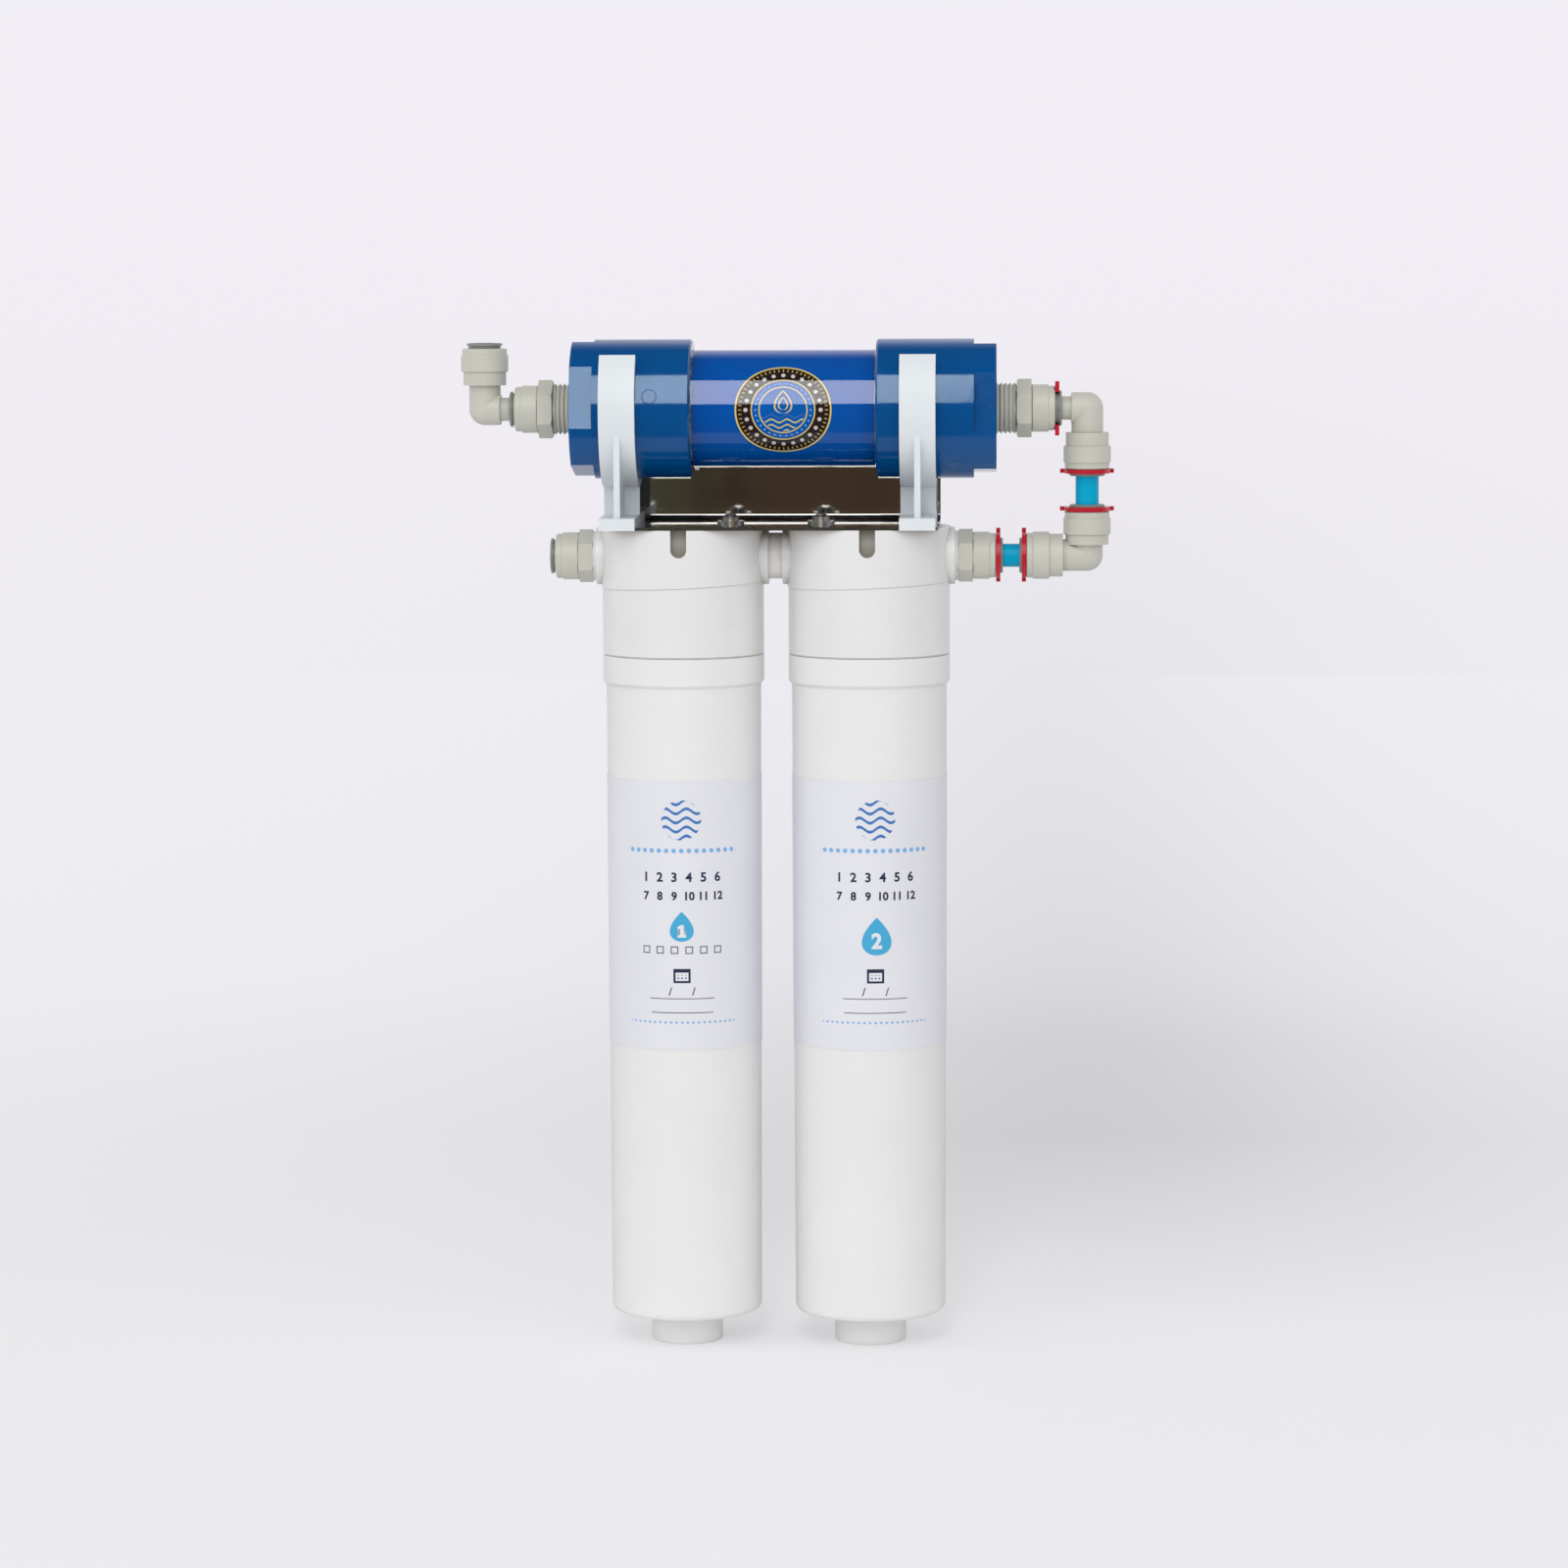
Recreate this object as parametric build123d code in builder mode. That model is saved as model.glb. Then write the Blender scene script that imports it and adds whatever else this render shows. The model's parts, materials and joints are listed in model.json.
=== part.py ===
from build123d import *
import os

# Under-sink water filter: two hanging cartridges in quarter-turn heads, and a clear chamber lying
# in two clips on top, all carried by one stainless wall bracket.
# Frame, in millimetres: the origin is the middle of the wall-slot line on the bracket's back face.
# +X is the viewer's right, +Y points into the wall, +Z is up.

# Shared clearances
over = 1.0
face_gap = 0.3
run_gap = 0.05
slip_gap = 0.1

# Wall bracket, folded from one sheet
sheet = 1.3
bracket_width = 134.0
bracket_depth = 65.7
plate_height = 58.5
bend_radius = 2.1
bracket_corner = 5.0
wall_slot_height = 42.5
wall_slot_inset = 25.0
wall_slot_length = 10.0
wall_slot_width = 5.2
axis_to_wall = 33.7

# Filter heads
head_spacing = 76.2
head_radius = 33.0
head_height = 51.7
collar_radius = 33.4
collar_height = 23.4
collar_tilt = 2.3
port_depth = 12.0
boss_radius = 11.7
boss_reach = 35.2
boss_socket_depth = 9.4
notch_width = 6.5
notch_height = 11.1
notch_depth = 8.0
water_radius = 3.1
cavity_height = 7.7
well_radius = 6.8
well_wall = 2.2
well_length = 16.0
arm_radius = 4.8
key_radius = 2.5

# Screws that hold the heads up to the shelf
head_screw_offset = 19.6
head_screw_radius = 2.0
head_screw_grip = 5.8
head_screw_cap_radius = 3.6
head_screw_cap_height = 1.8
drive_width = 0.9
drive_length = 3.6
drive_depth = 1.0
washer_radius = 5.5
washer_height = 1.0
spring_washer_radius = 3.7
spring_washer_height = 1.1
spring_washer_split = 0.8

# Cartridges
band_height = 11.0
band_radius = 33.0
band_slope = 1.3
band_edge = 0.4
shell_top_radius = 31.75
shell_foot_radius = 31.0
shell_wall = 2.6
shell_foot_fillet = 2.9
nub_radius = 14.7
nub_height = 12.8
nub_wall = 2.4
nub_edge = 0.8
closure_thickness = 6.0
shank_radius = 21.5
shank_height = 16.6
neck_radius = 15.0
neck_height = 10.5
spigot_radius = 6.5
spigot_height = 9.5
spigot_bore_radius = 3.4
feed_hole_radius = 2.0
feed_hole_circle = 10.2
feed_hole_count = 6
lug_radius = 26.0
lug_height = 3.6
lug_rise = 11.2
lug_arc = 32.0
lug_play_arc = 1.5
turn_arc = 90.0
neck_seal_wire = 1.1
neck_seal_rise = 5.0
spigot_seal_wire = 0.9
spigot_seal_rise = 4.5
block_radius = 26.0
block_bore_radius = 9.0
block_lift = 6.5
block_length = 240.0
block_headroom = 14.3
disc_thickness = 3.5
disc_radius = 27.0
disc_neck_radius = 5.6
disc_neck_insertion = 8.0
disc_foot_radius = 21.0
disc_foot_width = 2.0
cartridge_label_inset = 38.9
cartridge_label_height = 110.0
cartridge_label_arc = 250.0
cartridge_label_film = 0.15
film_gap = 0.03

# Shut-off valve in each head
plunger_radius = 5.6
plunger_thickness = 1.6
plunger_stem_radius = 1.6
plunger_stem_length = 5.0
plunger_hole_radius = 1.1
plunger_hole_circle = 3.7
plunger_hole_count = 4
valve_spring_radius = 4.2
valve_spring_wire = 0.45
valve_spring_turns = 4

# Nipple that joins the two heads
union_radius = 6.0
union_collar_radius = 9.4
union_insertion = 11.0
union_seal_wire = 0.8
union_seal_inset = 5.0

# Chamber above the shelf
chamber_rise = 46.7
chamber_offset = 3.8
cap_radius = 28.4
cap_edge = 0.8
cap_bore_depth = 35.0
cap_thread_spare = 3.9
cap_flat_length = 9.2
cap_flat_distance = 25.4
left_cap_turn = 12.3
right_cap_turn = 5.5
cap_spacing = 75.0
chamber_tube_radius = 23.9
chamber_tube_wall = 2.5
tube_fit_gap = 0.25
tube_end_gap = 2.0
chamber_seal_wire = 0.8
chamber_seal_inset = 8.0
chamber_label_margin = 0.4
chamber_label_film = 0.15
screen_thickness = 3.0
screen_inset = 0.5
screen_hole_circle = 12.0
screen_hole_radius = 1.2
screen_hole_count = 12

# Clips that hold the chamber
left_clip_inset = 4.0
right_clip_inset = 8.7
clip_width = 14.6
clip_wall = 3.2
clip_foot_height = 3.6
clip_lip = 1.2
clip_rib = 2.5
clip_web = 2.5
clip_arm_angle = 45.0
clip_screw_radius = 1.45
clip_screw_head_radius = 2.6
clip_screw_head_height = 1.6
clip_screw_spread = 24.0
clip_drive_width = 0.6
clip_drive_length = 2.8
clip_drive_depth = 0.9

# Push-fit fittings
tube_radius = 4.7625
tube_bore_radius = 3.2
tube_clearance = 0.08
mouth_ring_radius = 9.1
mouth_ring_length = 2.5
barrel_band_radius = 9.65
barrel_band_length = 7.0
shoulder_radius = 8.75
long_shoulder = 5.4
short_shoulder = 4.0
elbow_radius = 6.45
long_leg = 24.8
short_leg = 18.0
fitting_edge = 0.4
socket_radius = 6.8
socket_depth = 12.6
tube_stop = 15.2
port_seal_wire = 0.95
stem_reach = 10.4
stem_stub = 6.6

# Male connectors
hex_length = 6.0
hex_bevel = 1.0
upper_hex_radius = 11.9
lower_hex_radius = 10.8
upper_thread_radius = 10.4
upper_thread_pitch = 1.8
upper_thread_depth = 1.0
upper_thread_bared = 8.2
upper_thread_held = 10.0
lower_thread_radius = 8.3
lower_thread_held = 9.0
port_washer_radius = 10.1
port_washer_height = 1.2

# Collets and the red clips that lock them
collet_flange_radius = 7.25
collet_flange_height = 1.0
collet_flange_edge = 0.4
collet_neck_radius = 6.6
collet_length = 10.8
collet_travel = 1.2
collet_slit_width = 1.0
collet_slit_length = 6.0
collet_slit_count = 4
lock_thickness = 1.7
lock_wall = 2.6
lock_arm = 5.4
lock_tab_height = 1.7
lock_tab_width = 2.6

# Places that follow from the sizes
axis_y = -axis_to_wall
shelf_top = -wall_slot_height
shelf_bottom = shelf_top - sheet
plate_top = shelf_top + plate_height
head_top = shelf_bottom
head_bottom = head_top - head_height
port_z = head_top - port_depth
head_x = head_spacing / 2
boss_face = head_x + boss_reach
chamber_z = shelf_top + chamber_rise
cap_mouth = cap_spacing / 2
cap_length = cap_bore_depth + upper_thread_held + cap_thread_spare
chamber_end = cap_mouth + cap_length

band_top = head_bottom - face_gap
band_bottom = band_top - band_height
closure_bottom = band_top - closure_thickness
shell_top = closure_bottom - face_gap
shell_room = block_lift + block_length + disc_thickness + block_headroom
shell_floor = closure_bottom - shell_room - shell_wall
cartridge_foot = shell_floor - nub_height
shank_top = band_top + shank_height
neck_top = shank_top + neck_height
spigot_top = neck_top + spigot_height
lug_bottom = band_top + lug_rise
ledge_top = lug_bottom - face_gap
channel_top = lug_bottom + lug_height + face_gap
socket_step = shank_top + face_gap
cavity_top = head_top - cavity_height
well_bottom = cavity_top - well_length
shank_bore_radius = shank_radius + face_gap
neck_bore_radius = neck_radius + face_gap
channel_radius = lug_radius + face_gap

collet_bore_radius = tube_radius + tube_clearance
lock_slot = lock_thickness + slip_gap
ring_to_band = mouth_ring_length + barrel_band_length
port_seal_depth = socket_depth - port_seal_wire - slip_gap
stem_end = tube_stop - slip_gap

os.makedirs("parts", exist_ok=True)


def finish(part, label):
    part.label = label
    export_step(part, f"parts/{label}.step")


def section(line, outline, turn=0):
    # a closed outline of (distance along the line, radius) pairs, drawn in a plane through the line
    across = Vector(0, 0, 1) if line.direction.X else Vector(1, 0, 0)
    across = across.rotate(Axis((0, 0, 0), line.direction), turn)
    plane = Plane(origin=line.position, x_dir=line.direction, z_dir=line.direction.cross(across))
    with BuildSketch(plane) as drawn:
        with BuildLine():
            Polyline(*outline, close=True)
        make_face()
    return drawn.sketch


def tube_outline(low, high, inner, outer):
    return [(low, inner), (low, outer), (high, outer), (high, inner)]


def disc_plane(line, distance):
    # a plane square to the line, with its local x pointing up on a level line
    across = Vector(0, 0, 1) if line.direction.X else Vector(1, 0, 0)
    return Plane(origin=line.position + line.direction * distance, x_dir=across, z_dir=line.direction)


def level_plane(x, z, side):
    # a plane facing +X or -X on the row axis
    return Plane(origin=(x, axis_y, z), x_dir=(0, 0, 1), z_dir=(side, 0, 0))


def ring_seal(line, distance, middle, wire):
    # one rubber ring of round section about the line
    across = Vector(0, 0, 1) if line.direction.X else Vector(1, 0, 0)
    plane = Plane(origin=line.position, x_dir=line.direction, z_dir=line.direction.cross(across))
    with BuildPart() as seal:
        with BuildSketch(plane):
            with Locations((distance, middle)):
                Circle(wire)
        revolve(axis=line)
    return seal.part


def group(pieces):
    # separate solids kept together in one node
    with BuildPart() as grouped:
        for piece in pieces:
            add(piece)
    return grouped.part


# Wall bracket: shelf and back plate, with two wall slots and the holes for heads and clips
left_clip_x = left_clip_inset - bracket_width / 2
right_clip_x = bracket_width / 2 - right_clip_inset
clip_screw_step = (clip_rib / 2 + clip_width / 2) / 2
clip_screw_places = [
    (clip_x + side * clip_screw_step, axis_y + side * clip_screw_spread)
    for clip_x in (left_clip_x, right_clip_x)
    for side in (-1, 1)
]
head_screw_places = [(side * (head_x - head_screw_offset), axis_y) for side in (-1, 1)]
key_places = [(side * (head_x + head_screw_offset), axis_y) for side in (-1, 1)]

with BuildPart() as wall_bracket:
    end_plane = Plane(origin=(-bracket_width / 2, 0, 0), x_dir=(0, 1, 0), z_dir=(1, 0, 0))
    with BuildSketch(end_plane):
        with BuildLine():
            Polyline(
                (-bracket_depth, shelf_bottom), (0, shelf_bottom), (0, plate_top), (-sheet, plate_top),
                (-sheet, shelf_top), (-bracket_depth, shelf_top), close=True,
            )
        make_face()
    extrude(amount=bracket_width)
    long_edges = wall_bracket.edges().filter_by(Axis.X)
    fillet(long_edges.sort_by_distance((0, -sheet, shelf_top))[0], bend_radius)
    long_edges = wall_bracket.edges().filter_by(Axis.X)
    fillet(long_edges.sort_by_distance((0, 0, shelf_bottom))[0], bend_radius + sheet)
    fillet(wall_bracket.edges().filter_by(Axis.Y).group_by(Axis.Z)[-1], bracket_corner)
    fillet(wall_bracket.edges().filter_by(Axis.Z).group_by(Axis.Y)[0], bracket_corner / 2)
    with BuildSketch(Plane(origin=(0, over, 0), x_dir=(1, 0, 0), z_dir=(0, -1, 0))):
        with GridLocations(bracket_width - 2 * wall_slot_inset, 0, 2, 1):
            SlotOverall(wall_slot_length, wall_slot_width)
    extrude(amount=sheet + 2 * over, mode=Mode.SUBTRACT)
    with BuildSketch(Plane.XY.offset(shelf_bottom - over)):
        with Locations(*head_screw_places):
            Circle(head_screw_radius + 2 * slip_gap)
        with Locations(*key_places):
            Circle(key_radius + slip_gap)
        with Locations(*clip_screw_places):
            Circle(clip_screw_radius + run_gap)
    extrude(amount=sheet + 2 * over, mode=Mode.SUBTRACT)
finish(wall_bracket.part, "wall_bracket")


# Head screws with their spring and flat washers, standing on the shelf
spring_washer_bottom = shelf_top + washer_height
screw_cap_bottom = spring_washer_bottom + spring_washer_height
washer_bore_radius = head_screw_radius + 2 * slip_gap
crown_rise = 2 * head_screw_cap_height / 3
crown_radius = (head_screw_cap_radius ** 2 + crown_rise ** 2) / (2 * crown_rise)


def head_screw(place):
    line = Axis((*place, 0), (0, 0, 1))
    with BuildPart() as screw:
        with BuildSketch(Plane(origin=line.position, x_dir=(1, 0, 0), z_dir=(0, -1, 0))):
            with BuildLine():
                shank = Polyline(
                    (0, screw_cap_bottom + head_screw_cap_height), (0, shelf_bottom - head_screw_grip),
                    (head_screw_radius, shelf_bottom - head_screw_grip),
                    (head_screw_radius, screw_cap_bottom), (head_screw_cap_radius, screw_cap_bottom),
                    (head_screw_cap_radius, screw_cap_bottom + head_screw_cap_height - crown_rise),
                )
                RadiusArc(shank @ 1, shank @ 0, -crown_radius)
            make_face()
        revolve(axis=line)
        with BuildSketch(Plane.XY.offset(screw_cap_bottom + head_screw_cap_height)):
            with Locations(place):
                Rectangle(drive_length, drive_width)
                Rectangle(drive_width, drive_length)
        extrude(amount=-drive_depth, mode=Mode.SUBTRACT)
    return screw.part


def flat_washer(place):
    with BuildPart() as washer:
        with BuildSketch(Plane.XY.offset(shelf_top)):
            with Locations(place):
                Circle(washer_radius)
                Circle(washer_bore_radius, mode=Mode.SUBTRACT)
        extrude(amount=washer_height)
    return washer.part


def spring_washer(place):
    with BuildPart() as washer:
        with BuildSketch(Plane.XY.offset(spring_washer_bottom)):
            with Locations(place):
                Circle(spring_washer_radius)
                Circle(washer_bore_radius, mode=Mode.SUBTRACT)
                with Locations((spring_washer_radius, 0)):
                    Rectangle(2 * spring_washer_radius, spring_washer_split, mode=Mode.SUBTRACT)
        extrude(amount=spring_washer_height)
    return washer.part


finish(group([head_screw(place) for place in head_screw_places]), "head_screws")
finish(group([flat_washer(place) for place in head_screw_places]), "head_washers")
finish(group([spring_washer(place) for place in head_screw_places]), "head_spring_washers")


# Chamber clips: an open ring on a ribbed foot, each held down by two countersunk screws
clip_bore_radius = cap_radius + face_gap
clip_ring_radius = clip_bore_radius + clip_wall
clip_foot_top = shelf_top + clip_foot_height
rib_half = axis_to_wall - sheet - bend_radius - slip_gap
rib_top = chamber_z - (clip_ring_radius ** 2 - rib_half ** 2) ** 0.5
clip_reach = 2 * clip_ring_radius
clip_foot_back = axis_y + rib_half
clip_foot_end = -bracket_depth - slip_gap
clip_foot_front = clip_foot_end - clip_lip


def clip_screw_outline(gap):
    shank = clip_screw_radius + gap
    top = clip_foot_top + gap
    return [
        (shelf_bottom, 0), (shelf_bottom, shank), (top - clip_screw_head_height, shank),
        (top, clip_screw_head_radius + gap), (top, 0),
    ]


def chamber_clip(x, screw_places):
    ring_plane = Plane(origin=(x, axis_y, chamber_z), x_dir=(0, 1, 0), z_dir=(1, 0, 0))
    with BuildPart() as clip:
        # the foot, with a lip that hangs over the front edge of the shelf
        with BuildSketch(Plane(origin=(x, 0, 0), x_dir=(0, 1, 0), z_dir=(1, 0, 0))):
            with BuildLine():
                Polyline(
                    (clip_foot_back, shelf_top), (clip_foot_back, clip_foot_top),
                    (clip_foot_front, clip_foot_top), (clip_foot_front, shelf_bottom),
                    (clip_foot_end, shelf_bottom), (clip_foot_end, shelf_top), close=True,
                )
            make_face()
        extrude(amount=clip_width / 2, both=True)
        with BuildSketch(Plane.XY.offset(shelf_top)):
            with Locations((x, axis_y)):
                Rectangle(clip_rib, 2 * rib_half)
        extrude(amount=rib_top - shelf_top)
        with BuildSketch(Plane.XY.offset(shelf_top)):
            with Locations((x, axis_y)):
                Rectangle(clip_width, clip_web)
        extrude(amount=chamber_rise - clip_bore_radius)
        with BuildSketch(ring_plane):
            Circle(clip_ring_radius)
        extrude(amount=clip_width / 2, both=True)
        with BuildSketch(ring_plane):
            Circle(clip_bore_radius)
            with BuildLine():
                near_side = PolarLine((0, 0), clip_reach, clip_arm_angle)
                far_side = PolarLine((0, 0), clip_reach, 180 - clip_arm_angle)
                Line(near_side @ 1, far_side @ 1)
            make_face()
        extrude(amount=clip_width, both=True, mode=Mode.SUBTRACT)
        for place in screw_places:
            line = Axis((*place, 0), (0, 0, 1))
            revolve(section(line, clip_screw_outline(run_gap)), axis=line, mode=Mode.SUBTRACT)
    return clip.part


def clip_screw(place):
    line = Axis((*place, 0), (0, 0, 1))
    with BuildPart() as screw:
        revolve(section(line, clip_screw_outline(0)), axis=line)
        with BuildSketch(Plane.XY.offset(clip_foot_top)):
            with Locations(place):
                Rectangle(clip_drive_length, clip_drive_width)
                Rectangle(clip_drive_width, clip_drive_length)
        extrude(amount=-clip_drive_depth, mode=Mode.SUBTRACT)
    return screw.part


finish(chamber_clip(left_clip_x, clip_screw_places[:2]), "left_clip")
finish(chamber_clip(right_clip_x, clip_screw_places[2:]), "right_clip")
finish(group([clip_screw(place) for place in clip_screw_places]), "clip_screws")


# Chamber: clear tube with a printed film inside, a cap at each end, rubber rings, screens and media
chamber_line = Axis((chamber_offset, axis_y, chamber_z), (1, 0, 0))
cap_lines = {
    "left": Axis((chamber_offset - cap_mouth, axis_y, chamber_z), (-1, 0, 0)),
    "right": Axis((chamber_offset + cap_mouth, axis_y, chamber_z), (1, 0, 0)),
}
cap_bore_radius = chamber_tube_radius + tube_fit_gap
cap_port_radius = upper_thread_radius + run_gap
tube_inner_radius = chamber_tube_radius - chamber_tube_wall
tube_half = cap_mouth + cap_bore_depth - tube_end_gap
chamber_seal_middle = chamber_tube_radius + run_gap + chamber_seal_wire
chamber_groove_radius = chamber_seal_middle + chamber_seal_wire + run_gap
chamber_groove_half = chamber_seal_wire + run_gap


def end_cap(line, turn):
    # turn is how far the front flat faces up
    with BuildPart() as cap:
        revolve(section(line, [
            (0, cap_port_radius), (0, cap_radius - cap_edge), (cap_edge, cap_radius),
            (cap_length - cap_edge / 2, cap_radius), (cap_length, cap_radius - cap_edge / 2),
            (cap_length, cap_port_radius),
        ]), axis=line)
        revolve(section(line, tube_outline(-over, cap_bore_depth, 0, cap_bore_radius)),
                axis=line, mode=Mode.SUBTRACT)
        revolve(section(line, tube_outline(
            chamber_seal_inset - chamber_groove_half, chamber_seal_inset + chamber_groove_half,
            cap_bore_radius - over, chamber_groove_radius,
        )), axis=line, mode=Mode.SUBTRACT)
        with BuildSketch(disc_plane(line, cap_length - cap_flat_length)):
            Circle(cap_radius + over)
            Rectangle(2 * cap_flat_distance, 2 * cap_flat_distance,
                      rotation=-turn * line.direction.X, mode=Mode.SUBTRACT)
        extrude(amount=cap_flat_length + over, mode=Mode.SUBTRACT)
    return cap.part


cap_turns = {"left": left_cap_turn, "right": right_cap_turn}
for side, line in cap_lines.items():
    finish(end_cap(line, cap_turns[side]), f"{side}_end_cap")

with BuildPart() as chamber_tube:
    revolve(section(chamber_line, tube_outline(
        -tube_half, tube_half, tube_inner_radius, chamber_tube_radius,
    )), axis=chamber_line)
finish(chamber_tube.part, "chamber_tube")

label_half = cap_mouth - chamber_label_margin
label_outer_radius = tube_inner_radius - film_gap
label_inner_radius = label_outer_radius - chamber_label_film
with BuildPart() as chamber_label:
    revolve(section(chamber_line, tube_outline(
        -label_half, label_half, label_inner_radius, label_outer_radius,
    )), axis=chamber_line)
finish(chamber_label.part, "chamber_label")

fill_radius = label_inner_radius - slip_gap
screen_outer = tube_half - screen_inset
screen_inner = screen_outer - screen_thickness
with BuildPart() as chamber_screens:
    for side in (-1, 1):
        with BuildSketch(disc_plane(chamber_line, side * screen_outer)):
            Circle(fill_radius)
            with PolarLocations(screen_hole_circle, screen_hole_count):
                Circle(screen_hole_radius, mode=Mode.SUBTRACT)
        extrude(amount=-side * screen_thickness)
finish(chamber_screens.part, "chamber_screens")

with BuildPart() as chamber_media:
    with BuildSketch(disc_plane(chamber_line, -screen_inner)):
        Circle(fill_radius)
    extrude(amount=2 * screen_inner)
finish(chamber_media.part, "chamber_media")

finish(group([
    ring_seal(line, chamber_seal_inset, chamber_seal_middle, chamber_seal_wire)
    for line in cap_lines.values()
]), "chamber_seals")


# Filter heads: ports at both sides, a lug socket below, a valve well in the middle
union_socket_radius = union_radius + 2 * run_gap
union_socket_depth = union_insertion + slip_gap
lower_thread_bore = lower_thread_radius + run_gap
notch_radius = notch_width / 2
lug_turn_arc = turn_arc + lug_arc + 2 * lug_play_arc
entry_arc = lug_arc + 4 * lug_play_arc
lug_angles = (90, 270)


def filter_head(x, outer_side):
    line = Axis((x, axis_y, 0), (0, 0, 1))
    with BuildPart() as collar:
        revolve(section(line, tube_outline(head_bottom, head_top, 0, collar_radius)), axis=line)
        tilted = Plane(origin=(x, axis_y, head_top - collar_height), z_dir=(0, 0, 1))
        split(bisect_by=tilted.rotated((0, -collar_tilt, 0)), keep=Keep.TOP)
    with BuildPart() as head:
        revolve(section(line, tube_outline(head_bottom, head_top, 0, head_radius)), axis=line)
        add(collar.part)
        with BuildSketch(level_plane(x - boss_reach, port_z, 1)):
            Circle(boss_radius)
        extrude(amount=2 * boss_reach)
        split(bisect_by=Plane.XY.offset(head_top), keep=Keep.BOTTOM)
        # socket, from the rim up: shank, lug channel, neck, and the well around the spigot
        revolve(section(line, [
            (head_bottom - over, 0), (head_bottom - over, shank_bore_radius),
            (socket_step, shank_bore_radius), (socket_step, neck_bore_radius),
            (cavity_top, neck_bore_radius), (cavity_top, 0),
        ]), axis=line, mode=Mode.SUBTRACT)
        for angle in lug_angles:
            channel = tube_outline(ledge_top, channel_top, shank_bore_radius - over, channel_radius)
            first = angle + lug_arc / 2 + lug_play_arc - lug_turn_arc
            revolve(section(line, channel, first), axis=line, revolution_arc=lug_turn_arc,
                    mode=Mode.SUBTRACT)
            entry = tube_outline(
                head_bottom - over, channel_top, shank_bore_radius - over, channel_radius,
            )
            first = angle - turn_arc - entry_arc / 2
            revolve(section(line, entry, first), axis=line, revolution_arc=entry_arc,
                    mode=Mode.SUBTRACT)
        revolve(section(line, tube_outline(
            well_bottom, cavity_top + over, well_radius, well_radius + well_wall,
        )), axis=line)
        with BuildSketch(level_plane(x + well_radius, port_z, 1)):
            Circle(arm_radius)
        extrude(amount=neck_bore_radius - well_radius + over)
        # water ways: the inlet opens into the cavity, the outlet into the well
        with BuildSketch(level_plane(x, port_z, 1)):
            Circle(water_radius)
        extrude(amount=boss_reach + over, mode=Mode.SUBTRACT)
        with BuildSketch(level_plane(x - neck_radius, port_z, -1)):
            Circle(water_radius)
        extrude(amount=boss_reach, mode=Mode.SUBTRACT)
        # threaded socket on the outer side, union socket between the heads
        with BuildSketch(level_plane(x + outer_side * boss_reach, port_z, -outer_side)):
            Circle(lower_thread_bore)
        extrude(amount=boss_socket_depth, mode=Mode.SUBTRACT)
        with BuildSketch(level_plane(x - outer_side * boss_reach, port_z, outer_side)):
            Circle(union_socket_radius)
        extrude(amount=union_socket_depth, mode=Mode.SUBTRACT)
        # front notch, screw hole and the key that stops the head turning on its screw
        front = (x, axis_y - head_radius - over, head_top)
        with BuildSketch(Plane(origin=front, x_dir=(1, 0, 0), z_dir=(0, 1, 0))):
            with Locations((0, notch_height - notch_radius)):
                Circle(notch_radius)
                with Locations((0, -notch_height / 2)):
                    Rectangle(notch_width, notch_height)
        extrude(amount=notch_depth + over, mode=Mode.SUBTRACT)
        with BuildSketch(Plane.XY.offset(head_top)):
            with Locations((x - outer_side * head_screw_offset, axis_y)):
                Circle(head_screw_radius + run_gap)
        extrude(amount=-head_screw_grip - slip_gap, mode=Mode.SUBTRACT)
        with BuildSketch(Plane.XY.offset(head_top)):
            with Locations((x + outer_side * head_screw_offset, axis_y)):
                Circle(key_radius)
        extrude(amount=sheet - slip_gap)
    return head.part


finish(filter_head(-head_x, -1), "left_head")
finish(filter_head(head_x, 1), "right_head")


# Nipple between the heads, with a collar that fills the gap between their bosses
union_line = Axis((0, axis_y, port_z), (1, 0, 0))
union_gap_half = head_x - boss_reach
union_half = union_gap_half + union_insertion
union_seal_middle = union_socket_radius - run_gap - union_seal_wire
union_groove_radius = union_seal_middle - union_seal_wire - run_gap
union_groove_half = union_seal_wire + run_gap
union_seal_distance = union_half - union_seal_inset

with BuildPart() as head_union:
    revolve(section(union_line, tube_outline(
        -union_half, union_half, water_radius, union_radius,
    )), axis=union_line)
    revolve(section(union_line, tube_outline(
        -union_gap_half, union_gap_half, union_radius - over, union_collar_radius,
    )), axis=union_line)
    for side in (-1, 1):
        middle = side * union_seal_distance
        revolve(section(union_line, tube_outline(
            middle - union_groove_half, middle + union_groove_half,
            union_groove_radius, union_radius + over,
        )), axis=union_line, mode=Mode.SUBTRACT)
finish(head_union.part, "head_union")
finish(group([
    ring_seal(union_line, side * union_seal_distance, union_seal_middle, union_seal_wire)
    for side in (-1, 1)
]), "union_seals")


# Shut-off valve: the spigot holds the plunger up against its spring
plunger_bottom = spigot_top + slip_gap
plunger_top = plunger_bottom + plunger_thickness
stem_top = plunger_top + plunger_stem_length
spring_low = plunger_top + slip_gap + valve_spring_wire
spring_high = cavity_top - slip_gap - valve_spring_wire


def valve_plunger(x):
    line = Axis((x, axis_y, 0), (0, 0, 1))
    with BuildPart() as plunger:
        revolve(section(line, [
            (plunger_bottom, 0), (plunger_bottom, plunger_radius), (plunger_top, plunger_radius),
            (plunger_top, plunger_stem_radius), (stem_top, plunger_stem_radius), (stem_top, 0),
        ]), axis=line)
        with BuildSketch(Plane(origin=(x, axis_y, plunger_bottom))):
            with PolarLocations(plunger_hole_circle, plunger_hole_count):
                Circle(plunger_hole_radius)
        extrude(amount=plunger_thickness, mode=Mode.SUBTRACT)
    return plunger.part


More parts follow.
